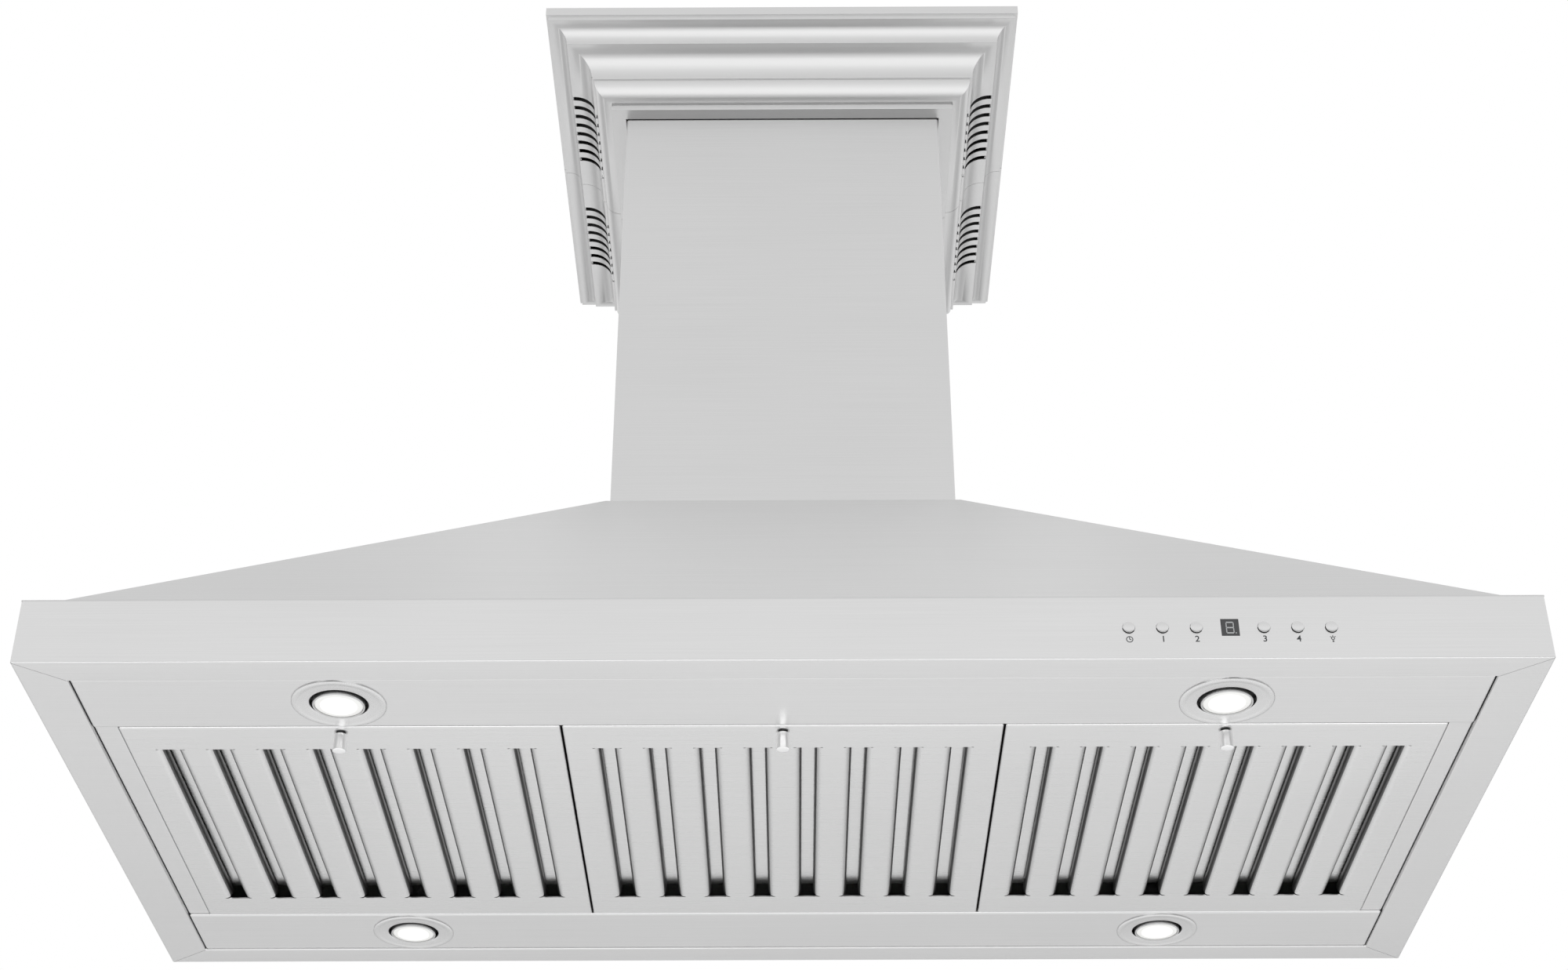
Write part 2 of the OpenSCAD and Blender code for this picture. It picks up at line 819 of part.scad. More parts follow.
module duct_collar() {
  color(galvanised) translate([0, 0, shelf_z]) difference() {
    union() {
      cylinder(h = collar_t, r = duct_r + collar_flange);
      cylinder(h = duct_h, r = duct_r);
    }
    translate([0, 0, 10.5]) cylinder(h = duct_h, r = duct_r - collar_t);
    translate([0, 0, -1]) cylinder(h = 20, r = flap_r - 3);
    translate([0, 0, rod_z - shelf_z]) rotate([0, 90, 0])
      cylinder(h = 4 * duct_r, r = rod_r + 0.05, center = true);
  }
}

module damper_rod() {
  color("silver") translate([0, 0, rod_z]) rotate([0, 90, 0])
    cylinder(h = 2 * duct_r, r = rod_r, center = true);
}

// Half-round flap on the -Y side, with its knuckles starting at the given places
module damper_flap(starts) {
  bore_r = rod_r + flap_fit;
  translate([0, 0, rod_z]) difference() {
    union() {
      intersection() {
        translate([0, 0, -flap_t / 2]) cylinder(h = flap_t, r = flap_r);
        span([-duct_r, -duct_r, -1], [duct_r, -knuckle_r - 0.8, 1]);
      }
      for (x = starts) {
        translate([x, 0, 0]) rotate([0, 90, 0]) cylinder(h = knuckle_w, r = knuckle_r);
        span([x, -knuckle_r - 1, -flap_t / 2], [x + knuckle_w, -bore_r, flap_t / 2]);
      }
    }
    rotate([0, 90, 0]) cylinder(h = 200, r = bore_r, center = true);
  }
}

module damper_flap_front() {
  color(galvanised) damper_flap([-59, 1]);
}

module damper_flap_rear() {
  color(galvanised) mirror([0, 1, 0]) damper_flap([-29, 31]);
}

// ---- controls and electrics ----

module control_box() {
  half = 3.5 * button_pitch + box_side;
  z = z_rim + control_z;
  color("dimgray") difference() {
    union() {
      difference() {
        span([control_x - half, box_y, z - box_below], [control_x + half, box_y + box_d, z + box_above]);
        span([control_x - half + box_t, box_y + box_t, z - box_below + box_t],
          [control_x + half - box_t, box_y + box_d - box_t, z + box_above - box_t]);
      }
      for (s = [-1, 1]) translate([control_x + s * (half - 5), box_y + 1, z])
        rotate([90, 0, 0]) cylinder(h = 6, r = 3);
    }
    for (i = [1:6]) translate([button_x(i), box_y, z])
      rotate([90, 0, 0]) cylinder(h = 10, r = stem_r + 0.3, center = true);
    translate([control_x, box_y, z]) cube([display_w + 0.2, 10, display_h + 0.2], center = true);
  }
}

module control_display() {
  y = -hood_d / 2;
  z = z_rim + control_z;
  color("dimgray") span([control_x - display_w / 2, y, z - display_h / 2],
    [control_x + display_w / 2, box_y + 6, z + display_h / 2]);
}

module button(i) {
  color("silver") translate([button_x(i), -hood_d / 2, z_rim + control_z]) rotate([90, 0, 0]) {
    intersection() {
      translate([0, 0, -sheet_t - 1]) cylinder(h = sheet_t + 1 + button_out, r = button_r);
      translate([0, 0, button_out - button_dome_r]) sphere(r = button_dome_r);
    }
    translate([0, 0, -sheet_t - button_play - button_rim]) cylinder(h = button_rim, r = button_r + 1.3);
    translate([0, 0, -sheet_t - 8]) cylinder(h = 7, r = stem_r);
  }
}

module junction_box() {
  x = -frame_x + frame_t;
  w = junction_w / 2;
  z = -flange_h + junction_h / 2;
  t = junction_t;
  color("gray") difference() {
    union() {
      span([x, -w, z - junction_h], [x + junction_d, w, z]);
      translate([-frame_x + bolt_inset, 0, z - 1]) cylinder(h = gland_h, r = gland_out_r);
    }
    span([x + t, t - w, z - junction_h + t], [x + junction_d - t, w - t, z - t]);
    translate([-frame_x + bolt_inset, 0, z - 5]) cylinder(h = 30, r = gland_r);
  }
}

module led_driver() {
  color("dimgray") span([-driver_w / 2, -lamp_y - driver_d / 2, z_face + sheet_t],
    [driver_w / 2, -lamp_y + driver_d / 2, z_face + driver_h]);
}

canopy_skirt();
canopy_roof();
light_panel(-1);  // front_light_panel
light_panel(1);  // rear_light_panel
side_strip(-1);  // side_strip_left
side_strip(1);  // side_strip_right
filter_dividers();
for (i = [0:2]) {
  filter_tray(i);
  filter_baffles(i);
  filter_knob(i);
}
for (i = [0:3]) {
  lamp_trim(i);
  lamp_head(i);
  lamp_lens(i);
  speaker(i);
}
chimney_cover();
crown_front();
crown_rear();
crown_fixings();
speaker_amplifier();
ceiling_bracket();
support_posts();
lower_frame();
frame_bolts();
blower_housing();
blower_motor();
blower_wheel();
duct_collar();
damper_rod();
damper_flap_front();
damper_flap_rear();
control_box();
control_display();
for (i = [1:6]) button(i);
junction_box();
led_driver();
panel_screws();
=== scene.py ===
import json
import math

import bmesh
import bpy
from mathutils import Matrix, Vector


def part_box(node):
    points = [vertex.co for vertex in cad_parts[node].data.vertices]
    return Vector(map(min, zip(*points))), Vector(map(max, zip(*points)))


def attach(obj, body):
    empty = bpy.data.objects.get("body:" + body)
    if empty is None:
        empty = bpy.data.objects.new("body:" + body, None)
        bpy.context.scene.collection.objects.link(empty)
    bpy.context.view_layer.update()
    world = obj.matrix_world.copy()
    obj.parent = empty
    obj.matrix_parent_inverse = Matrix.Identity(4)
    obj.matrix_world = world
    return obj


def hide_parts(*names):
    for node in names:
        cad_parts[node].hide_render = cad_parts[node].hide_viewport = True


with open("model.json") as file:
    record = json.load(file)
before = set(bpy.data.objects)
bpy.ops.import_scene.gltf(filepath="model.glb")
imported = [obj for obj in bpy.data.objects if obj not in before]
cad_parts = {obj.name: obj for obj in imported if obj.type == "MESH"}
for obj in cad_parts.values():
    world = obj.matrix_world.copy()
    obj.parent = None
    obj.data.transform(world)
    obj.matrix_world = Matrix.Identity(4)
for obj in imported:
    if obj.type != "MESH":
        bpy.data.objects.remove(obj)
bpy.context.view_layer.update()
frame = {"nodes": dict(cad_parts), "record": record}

mm = 0.001
nodes = frame["nodes"]
slotOf = {part["node"]: part["material_slot"] for part in frame["record"]["subparts"]}
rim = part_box("canopy_skirt")[0].z  # level of the canopy's lower rim
print("frame loaded:", len(nodes), "nodes")


# Small tools for edit mode

def deselectAll():
    if bpy.context.mode != "OBJECT":
        bpy.ops.object.mode_set(mode="OBJECT")
    bpy.ops.object.select_all(action="DESELECT")


def editMesh(piece, kind="FACE"):
    deselectAll()
    piece.select_set(True)
    bpy.context.view_layer.objects.active = piece
    bpy.ops.object.mode_set(mode="EDIT")
    bpy.ops.mesh.select_mode(type=kind)
    bpy.ops.mesh.select_all(action="DESELECT")


def endEdit():
    bpy.ops.object.mode_set(mode="OBJECT")


def pick(piece, kind, test):
    # selects the faces, edges or vertices whose middle and direction pass the test
    mesh = bmesh.from_edit_mesh(piece.data)
    bpy.ops.mesh.select_all(action="DESELECT")
    bpy.ops.mesh.select_mode(type=kind)
    found = 0
    if kind == "FACE":
        mesh.normal_update()
        for face in mesh.faces:
            if test(face.calc_center_median(), face.normal):
                face.select_set(True)
                found += 1
    elif kind == "EDGE":
        for edge in mesh.edges:
            a, b = (v.co for v in edge.verts)
            if test((a + b) / 2, (b - a).normalized()):
                edge.select_set(True)
                found += 1
    else:
        for vert in mesh.verts:
            if test(vert.co, vert.normal):
                vert.select_set(True)
                found += 1
    mesh.select_flush_mode()
    bmesh.update_edit_mesh(piece.data)
    return found


def near(a, b, gap=0.01 * mm):
    return abs(a - b) < gap


def addBox(name, low, high):
    low, high = Vector(low), Vector(high)
    deselectAll()
    bpy.ops.mesh.primitive_cube_add(size=1, location=(low + high) / 2, scale=high - low)
    return placed(name)


def addRing(name, centre, radius, count):
    deselectAll()
    bpy.ops.mesh.primitive_circle_add(vertices=count, radius=radius, location=centre)
    return placed(name)


def placed(name):
    # names the new primitive and moves its place into the mesh
    piece = bpy.context.object
    piece.name = piece.data.name = name
    bpy.ops.object.transform_apply(location=True, rotation=True, scale=True)
    return piece


def modify(piece, kind, **settings):
    deselectAll()
    piece.select_set(True)
    bpy.context.view_layer.objects.active = piece
    step = piece.modifiers.new(kind.title(), kind)
    for name, value in settings.items():
        setattr(step, name, value)
    bpy.ops.object.modifier_apply(modifier=step.name)


def roundFolds(piece, width, segments=3, angle=35):
    modify(piece, "BEVEL", width=width, segments=segments, limit_method="ANGLE",
           angle_limit=math.radians(angle), use_clamp_overlap=True)


def thicken(piece, thickness, offset=-1):
    modify(piece, "SOLIDIFY", thickness=thickness, offset=offset, use_even_offset=True)


def cutWith(piece, cutter):
    modify(piece, "BOOLEAN", object=cutter, operation="DIFFERENCE", solver="EXACT")
    bpy.data.objects.remove(cutter)


def smooth(piece, angle=30):
    deselectAll()
    piece.select_set(True)
    bpy.context.view_layer.objects.active = piece
    bpy.ops.object.shade_smooth_by_angle(angle=math.radians(angle))


def joinPieces(pieces, name):
    deselectAll()
    for piece in pieces:
        piece.select_set(True)
    bpy.context.view_layer.objects.active = pieces[0]
    bpy.ops.object.join()
    pieces[0].name = pieces[0].data.name = name
    return pieces[0]


def outward(piece):
    editMesh(piece)
    bpy.ops.mesh.select_all(action="SELECT")
    bpy.ops.mesh.remove_doubles(threshold=0.002 * mm)
    bpy.ops.mesh.normals_make_consistent(inside=False)
    endEdit()


def faceOut(piece, way):
    # turns an open sheet round if its face furthest along the way given looks back
    furthest = max(piece.data.polygons, key=lambda face: face.center.dot(way))
    if furthest.normal.dot(way) < 0:
        editMesh(piece)
        bpy.ops.mesh.select_all(action="SELECT")
        bpy.ops.mesh.flip_normals()
        endEdit()


def moved(piece, name, shift):
    # copy of a finished piece, with a mesh of its own
    copy = piece.copy()
    copy.data = piece.data.copy()
    copy.name = copy.data.name = name
    copy.data.transform(Matrix.Translation(Vector(shift)))
    bpy.context.collection.objects.link(copy)
    return copy


def turned(name, centre, outline, count=96, closed=False):
    # lathe work about a vertical axis: a ring is extruded and resized through (radius, height)
    r0, z0 = outline[0]
    centre = Vector(centre)
    piece = addRing(name, centre + Vector((0, 0, z0)), r0, count)
    editMesh(piece, "EDGE")
    bpy.ops.mesh.select_all(action="SELECT")
    before, level = r0, z0
    for r, z in outline[1:]:
        bpy.ops.mesh.extrude_edges_move(TRANSFORM_OT_translate={"value": (0, 0, z - level)})
        ratio = r / before
        bpy.ops.transform.resize(value=(ratio, ratio, 1), center_override=centre)
        before, level = r, z
    if closed:
        pick(piece, "EDGE", lambda c, d: True)
        bpy.ops.mesh.region_to_loop()
        bpy.ops.mesh.bridge_edge_loops()
    endEdit()
    outward(piece)
    return piece


def capEnds(piece):
    editMesh(piece, "EDGE")
    bpy.ops.mesh.select_all(action="SELECT")
    bpy.ops.mesh.region_to_loop()
    bpy.ops.mesh.edge_face_add()
    endEdit()
    outward(piece)


# Materials

def linear(hexColour):
    parts = [int(hexColour[i:i + 2], 16) / 255 for i in (1, 3, 5)]
    return [c / 12.92 if c <= 0.04045 else ((c + 0.055) / 1.055) ** 2.4 for c in parts] + [1]


def addNode(tree, kind, inputs=None, **settings):
    node = tree.nodes.new(kind)
    for name, value in settings.items():
        setattr(node, name, value)
    for name, value in (inputs or {}).items():
        if isinstance(value, bpy.types.NodeSocket):
            tree.links.new(value, node.inputs[name])
        else:
            node.inputs[name].default_value = value
    return node


def newMaterial(name, colour, metallic, roughness):
    material = bpy.data.materials.new(name)
    material.use_nodes = True
    tree = material.node_tree
    shader = tree.nodes["Principled BSDF"]
    shader.inputs["Base Color"].default_value = linear(colour)
    shader.inputs["Metallic"].default_value = metallic
    shader.inputs["Roughness"].default_value = roughness
    place = addNode(tree, "ShaderNodeTexCoord").outputs["Object"]
    return material, tree, shader, place


def mixColours(tree, share, dark, light):
    mix = addNode(tree, "ShaderNodeMix", {"Factor": share}, data_type="RGBA")
    mix.inputs["A"].default_value = linear(dark)
    mix.inputs["B"].default_value = linear(light)
    return mix.outputs["Result"]


def remap(tree, value, low, high, fromLow=0.3, fromHigh=0.7):
    return addNode(tree, "ShaderNodeMapRange", {"Value": value, "From Min": fromLow, "From Max": fromHigh,
                                                "To Min": low, "To Max": high}).outputs["Result"]


def stainless(name, light, dark, along="X", roughness=0.30, grainMm=1.0, grainLongMm=150, depth=0.0008,
              spread=0.02):
    # stainless sheet, brushed: long fine scratches that soften its reflections across the grain
    # real scratches are about 0.1 mm wide, drawn at 1 mm so that they show
    material, tree, shader, place = newMaterial(name, light, 1.0, roughness)
    fine, long = 1 / (grainMm * mm), 1 / (grainLongMm * mm)
    scale = [long if axis == along else fine for axis in "XYZ"]
    stretch = addNode(tree, "ShaderNodeMapping", {"Vector": place, "Scale": scale})
    grain = addNode(tree, "ShaderNodeTexNoise", {"Vector": stretch.outputs["Vector"], "Scale": 1.0,
                                                 "Detail": 3.0, "Roughness": 0.6}).outputs["Fac"]
    cloud = addNode(tree, "ShaderNodeTexNoise", {"Vector": place, "Scale": 1 / (180 * mm),
                                                 "Detail": 1.0}).outputs["Fac"]  # rolling marks
    blend = addNode(tree, "ShaderNodeMix", {"Factor": 0.35, "A": grain, "B": cloud}).outputs["Result"]
    tree.links.new(mixColours(tree, remap(tree, blend, 0.0, 1.0), dark, light), shader.inputs["Base Color"])
    tree.links.new(remap(tree, grain, roughness + spread, roughness - spread), shader.inputs["Roughness"])
    bump = addNode(tree, "ShaderNodeBump", {"Height": grain, "Distance": depth * mm, "Strength": 1.0})
    tree.links.new(bump.outputs["Normal"], shader.inputs["Normal"])
    return material


def galvanisedSteel(name):
    # hot-dip galvanised sheet: flat crystals about 12 mm across, each a slightly different grey
    material, tree, shader, place = newMaterial(name, "#b4b6b8", 1.0, 0.42)
    crystal = addNode(tree, "ShaderNodeTexVoronoi", {"Vector": place, "Scale": 1 / (12 * mm)})
    shade = addNode(tree, "ShaderNodeSeparateColor", {"Color": crystal.outputs["Color"]}).outputs["Red"]
    tree.links.new(mixColours(tree, shade, "#a3a6a9", "#c3c5c7"), shader.inputs["Base Color"])
    tree.links.new(remap(tree, shade, 0.34, 0.50, 0.0, 1.0), shader.inputs["Roughness"])
    return material


def chromePlate(name, colour="#dcdcdc", roughness=0.10):
    # polished chrome: near mirror, with faint polishing haze
    material, tree, shader, place = newMaterial(name, colour, 1.0, roughness)
    haze = addNode(tree, "ShaderNodeTexNoise", {"Vector": place, "Scale": 1 / (2.5 * mm),
                                                "Detail": 2.0}).outputs["Fac"]
    tree.links.new(remap(tree, haze, roughness - 0.02, roughness + 0.03), shader.inputs["Roughness"])
    return material


def turnedMetal(name, colour, roughness, grooveMm=0.5):
    # turned metal: a fine noise in its roughness, at the size of the lathe's grooves
    material, tree, shader, place = newMaterial(name, colour, 1.0, roughness)
    rings = addNode(tree, "ShaderNodeTexNoise", {"Vector": place, "Scale": 1 / (grooveMm * mm),
                                                 "Detail": 2.0}).outputs["Fac"]
    tree.links.new(remap(tree, rings, roughness - 0.04, roughness + 0.06), shader.inputs["Roughness"])
    return material


def mouldedPlastic(name, colour, roughness):
    # injection-moulded plastic with a fine spark texture from the tool
    material, tree, shader, place = newMaterial(name, colour, 0.0, roughness)
    shader.inputs["IOR"].default_value = 1.49
    spark = addNode(tree, "ShaderNodeTexNoise", {"Vector": place, "Scale": 1 / (0.8 * mm),
                                                 "Detail": 2.0}).outputs["Fac"]
    tree.links.new(remap(tree, spark, roughness - 0.05, roughness + 0.08), shader.inputs["Roughness"])
    bump = addNode(tree, "ShaderNodeBump", {"Height": spark, "Distance": 0.03 * mm, "Strength": 1.0})
    tree.links.new(bump.outputs["Normal"], shader.inputs["Normal"])
    return material


def satinPaint(name, colour):
    # stoved paint on the motor: slight orange peel in a satin coat
    material, tree, shader, place = newMaterial(name, colour, 0.0, 0.42)
    peel = addNode(tree, "ShaderNodeTexNoise", {"Vector": place, "Scale": 1 / (2 * mm)}).outputs["Fac"]
    tree.links.new(remap(tree, peel, 0.38, 0.5), shader.inputs["Roughness"])
    bump = addNode(tree, "ShaderNodeBump", {"Height": peel, "Distance": 0.05 * mm, "Strength": 1.0})
    tree.links.new(bump.outputs["Normal"], shader.inputs["Normal"])
    return material


def frostedLens(name, glow):
    # frosted acrylic over lit diodes: brightest in the middle, softer towards the rim
    material, tree, shader, place = newMaterial(name, "#f7f7f5", 0.0, 0.35)
    shader.inputs["IOR"].default_value = 1.49
    shader.inputs["Emission Color"].default_value = linear("#fffefa")
    shader.inputs["Emission Strength"].default_value = glow
    frost = addNode(tree, "ShaderNodeTexNoise", {"Vector": place, "Scale": 1 / (1.2 * mm),
                                                 "Detail": 2.0}).outputs["Fac"]
    tree.links.new(remap(tree, frost, 0.30, 0.42), shader.inputs["Roughness"])
    return material


def smokedWindow(name):
    # smoked acrylic window, glossy, with faint handling haze
    material, tree, shader, place = newMaterial(name, "#48494a", 0.0, 0.12)
    shader.inputs["IOR"].default_value = 1.49
    haze = addNode(tree, "ShaderNodeTexNoise", {"Vector": place, "Scale": 1 / (4 * mm)}).outputs["Fac"]
    tree.links.new(remap(tree, haze, 0.10, 0.2), shader.inputs["Roughness"])
    return material


def printedInk(name, colour):
    # screen-printed ink, matt, a little uneven where the screen's mesh shows
    material, tree, shader, place = newMaterial(name, colour, 0.0, 0.6)
    mesh = addNode(tree, "ShaderNodeTexNoise", {"Vector": place, "Scale": 1 / (0.3 * mm)}).outputs["Fac"]
    tree.links.new(remap(tree, mesh, 0.5, 0.7), shader.inputs["Roughness"])
    return material


def paleFloor(name):
    # matt painted floor with a faint unevenness
    material, tree, shader, place = newMaterial(name, "#d4d4d4", 0.0, 0.8)
    cloud = addNode(tree, "ShaderNodeTexNoise", {"Vector": place, "Scale": 0.8}).outputs["Fac"]
    tree.links.new(mixColours(tree, remap(tree, cloud, 0.0, 1.0), "#d2d2d2", "#d6d6d6"),
                   shader.inputs["Base Color"])
    return material


steelTone = {"light": "#e2e2e2", "dark": "#dcdcdc"}
finish = {
    "body": stainless("BrushedStainless", steelTone["light"], steelTone["dark"]),
    # a rougher copy of the brushed steel for the roof; its darker tone is painted shade
    "roof": stainless("BrushedStainlessRoof", "#dcdcdc", "#d8d8d8", roughness=0.52),
    "chimney": stainless("BrushedStainlessChimney", "#dadada", "#d4d4d4"),
    "filter": stainless("BrushedStainlessFilter", "#e4e4e4", "#dedede", roughness=0.26),
    # darker steel for the curled lips' inner walls: painted shade inside the filter slots
    "lip": stainless("MillFinishLips", "#7c7c7c", "#747474", along="Y", roughness=0.36),
    "crown": stainless("SatinStainlessCrown", "#dadada", "#d8d8d8", roughness=0.36, depth=0.0002,
                       spread=0.005),
    "galvanised": galvanisedSteel("GalvanisedSheet"),
    "chrome": chromePlate("PolishedChrome"),
    "knob": chromePlate("SatinChromeKnob", "#f8f8f8", 0.3),
    "trim": turnedMetal("TurnedStainlessTrim", "#dcdcdc", 0.28),
    "lampMetal": turnedMetal("TurnedAluminiumHead", "#d0d0d0", 0.32),
    "zinc": turnedMetal("ZincPlatedScrew", "#b9bbbd", 0.38),
    "lens": frostedLens("FrostedLitAcrylic", 1.4),
    "lensSoft": frostedLens("FrostedLitAcrylicSoft", 0.22),
    "lensEdge": frostedLens("FrostedAcrylicEdge", 0.0),
    "window": smokedWindow("SmokedAcrylic"),
    "segment": mouldedPlastic("UnlitDiodePlastic", "#c2c4c5", 0.4),
    "ink": printedInk("GreyLegendInk", "#4c4e50"),
    "blackPlastic": mouldedPlastic("BlackMouldedPlastic", "#161616", 0.45),
    "greyPlastic": mouldedPlastic("GreyMouldedPlastic", "#6a6c6e", 0.5),
    "motorPaint": satinPaint("BlackMotorPaint", "#202123"),
    "floor": paleFloor("PalePaintedFloor"),
}
slotFinish = {
    "brushed_steel": "body", "filter_steel": "filter", "galvanised": "galvanised",
    "polished": "chrome", "lamp_ring": "trim", "lamp_metal": "lampMetal", "lens": "lens",
    "display": "window", "black_plastic": "blackPlastic", "grey_plastic": "greyPlastic",
    "motor_paint": "motorPaint", "zinc": "zinc",
}
for name, node in nodes.items():
    node.data.materials.clear()
    node.data.materials.append(finish[slotFinish[slotOf[name]]])
print("materials made:", len(finish))


def show(piece, material, body, replaced, angle=30):
    # gives a finished piece its material, its body and the CAD node it stands for
    smooth(piece, angle)
    modify(piece, "WEIGHTED_NORMAL", weight=50, keep_sharp=True)  # flat faces stay flat at the folds
    piece.data.materials.clear()
    piece.data.materials.append(finish[material])
    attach(piece, body)
    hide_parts(*replaced)
    return piece


def secondFinish(piece, material, test):
    # paints the faces whose middle and direction pass the test
    piece.data.materials.append(finish[material])
    for face in piece.data.polygons:
        if test(face.center, face.normal):
            face.material_index = len(piece.data.materials) - 1


# Canopy: one folded skirt with mitred rim flanges

skirt = {"foldRound": 1.2 * mm, "sheet": 1.2 * mm, "lip": 14 * mm, "mitreGap": 0.4 * mm,
         "mitreDeep": 0.5 * mm, "mitreShort": 0.5 * mm, "rimFront": 30 * mm, "rimSide": 38 * mm}


def makeSkirt():
    low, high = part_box("canopy_skirt")
    piece = addBox("canopySkirt", low, high)
    innerX, innerY = high.x - skirt["rimSide"], high.y - skirt["rimFront"]
    editMesh(piece)
    pick(piece, "FACE", lambda c, n: n.z > 0.9)
    bpy.ops.mesh.delete(type="FACE")
    pick(piece, "FACE", lambda c, n: n.z < -0.9)
    bpy.ops.mesh.inset(thickness=skirt["rimFront"])
    widen = innerX / (high.x - skirt["rimFront"])
    bpy.ops.transform.resize(value=(widen, 1, 1), center_override=(0, 0, rim))
    bpy.ops.mesh.extrude_region_move(TRANSFORM_OT_translate={"value": (0, 0, skirt["lip"])})
    bpy.ops.mesh.delete(type="FACE")
    endEdit()
    roundFolds(piece, skirt["foldRound"])
    thicken(piece, skirt["sheet"])
    return piece


controls = {"buttonRim": 1.3 * mm, "cutFit": 0.35 * mm, "windowFit": 0.1 * mm, "cutDeep": 20 * mm}


def cutControls(piece):
    cutters = []
    for i in range(1, 7):
        low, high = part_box(f"button_{i}")
        centre = (low + high) / 2
        radius = (high.x - low.x) / 2 - controls["buttonRim"] + controls["cutFit"]
        deselectAll()
        bpy.ops.mesh.primitive_cylinder_add(vertices=48, radius=radius, depth=controls["cutDeep"],
                                            location=centre, rotation=(math.pi / 2, 0, 0))
        cutters.append(placed(f"cutter{i}"))
    low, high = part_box("control_display")
    grow = Vector((controls["windowFit"], controls["cutDeep"] / 4, controls["windowFit"]))
    cutters.append(addBox("cutterWindow", low - grow, high + grow))
    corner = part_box("canopy_skirt")[1]
    for sideX in (-1, 1):
        for sideY in (-1, 1):
            # a fine groove along each mitre of the rim flange
            half, long = skirt["mitreGap"] / 2, math.hypot(skirt["rimSide"], skirt["rimFront"])
            groove = addBox(f"mitre{sideX}{sideY}", (skirt["mitreShort"], -half, -1 * mm),
                            (long - skirt["mitreShort"], half, skirt["mitreDeep"]))
            angle = math.atan2(sideY * skirt["rimFront"], sideX * skirt["rimSide"])
            innerX, innerY = corner.x - skirt["rimSide"], corner.y - skirt["rimFront"]
            inner = Vector((sideX * innerX, sideY * innerY, rim))
            groove.data.transform(Matrix.Translation(inner) @ Matrix.Rotation(angle, 4, "Z"))
            cutters.append(groove)
    cutWith(piece, joinPieces(cutters, "skirtCutter"))


skirtPiece = makeSkirt()
cutControls(skirtPiece)
show(skirtPiece, "body", "root", ["canopy_skirt"])
underside = [skirtPiece]
print("skirt made")


# Canopy: pyramid roof with a small step all round and an opening for the chimney's frame

roof = {"step": 8 * mm, "ledge": 4 * mm, "sheet": 1.2 * mm, "foldRound": 1.0 * mm, "hole": 141 * mm}


def makeRoof():
    low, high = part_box("canopy_roof")
    band = low.z + roof["sheet"]
    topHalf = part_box("chimney_cover")[1].x + roof["ledge"]
    footX, footY = high.x - roof["step"], high.y - roof["step"]
    piece = addBox("canopyRoof", (-footX, -footY, band), (footX, footY, high.z))
    editMesh(piece)
    pick(piece, "FACE", lambda c, n: n.z < -0.9)
    bpy.ops.mesh.delete(type="FACE")
    pick(piece, "FACE", lambda c, n: n.z > 0.9)
    bpy.ops.transform.resize(value=(topHalf / footX, topHalf / footY, 1), center_override=(0, 0, high.z))
    bpy.ops.mesh.inset(thickness=topHalf - roof["hole"])
    bpy.ops.mesh.delete(type="FACE")
    pick(piece, "EDGE", lambda c, d: near(c.z, band))
    bpy.ops.mesh.extrude_edges_move(TRANSFORM_OT_translate={"value": (0, 0, 0)})
    bpy.ops.transform.resize(value=(high.x / footX, high.y / footY, 1), center_override=(0, 0, band))
    endEdit()
    outward(piece)
    faceOut(piece, Vector((0, 0, 1)))
    roundFolds(piece, roof["foldRound"], angle=20)
    thicken(piece, roof["sheet"])
    return piece


roofPiece = show(makeRoof(), "roof", "root", ["canopy_roof"], angle=20)
print("roof made")


# Light panels and side strips: folded pans

pan = {"sheet": 1.2 * mm, "foldRound": 2.0 * mm, "stripRound": 1.0 * mm, "lampHole": 32.3 * mm}


def makePan(name, node, foldRound):
    low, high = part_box(node)
    piece = addBox(name, low, high)
    editMesh(piece)
    pick(piece, "FACE", lambda c, n: n.z > 0.9)
    bpy.ops.mesh.delete(type="FACE")
    endEdit()
    roundFolds(piece, foldRound, segments=4)
    thicken(piece, pan["sheet"])
    return piece


def lampCentre(name):
    low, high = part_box("lamp_trim_" + name)
    return Vector(((low.x + high.x) / 2, (low.y + high.y) / 2, low.z))


lampNames = ["front_left", "front_right", "rear_left", "rear_right"]
for side in ("front", "rear"):
    panel = makePan(side + "LightPanel", side + "_light_panel", pan["foldRound"])
    holes = []
    for lamp in lampNames:
        if lamp.startswith(side):
            deselectAll()
            bpy.ops.mesh.primitive_cylinder_add(vertices=96, radius=pan["lampHole"], depth=20 * mm,
                                                location=lampCentre(lamp))
            holes.append(placed("hole_" + lamp))
    cutWith(panel, joinPieces(holes, "lampHoles"))
    underside.append(show(panel, "body", "root", [side + "_light_panel"]))
for side in ("left", "right"):
    strip = makePan(side + "SideStrip", "side_strip_" + side, pan["stripRound"])
    show(strip, "body", "root", ["side_strip_" + side])
print("panels made")


# Baffle filters: a slotted face whose slot edges curl up, and folded walls

tray = {"slots": 8, "pitch": 41.6 * mm, "opening": 11 * mm, "curl": 6.5 * mm, "curlTall": 9 * mm,
        "margin": 38 * mm, "sheet": 1.0 * mm, "foldRound": 1.6 * mm, "steps": 8, "relief": 1.0 * mm}


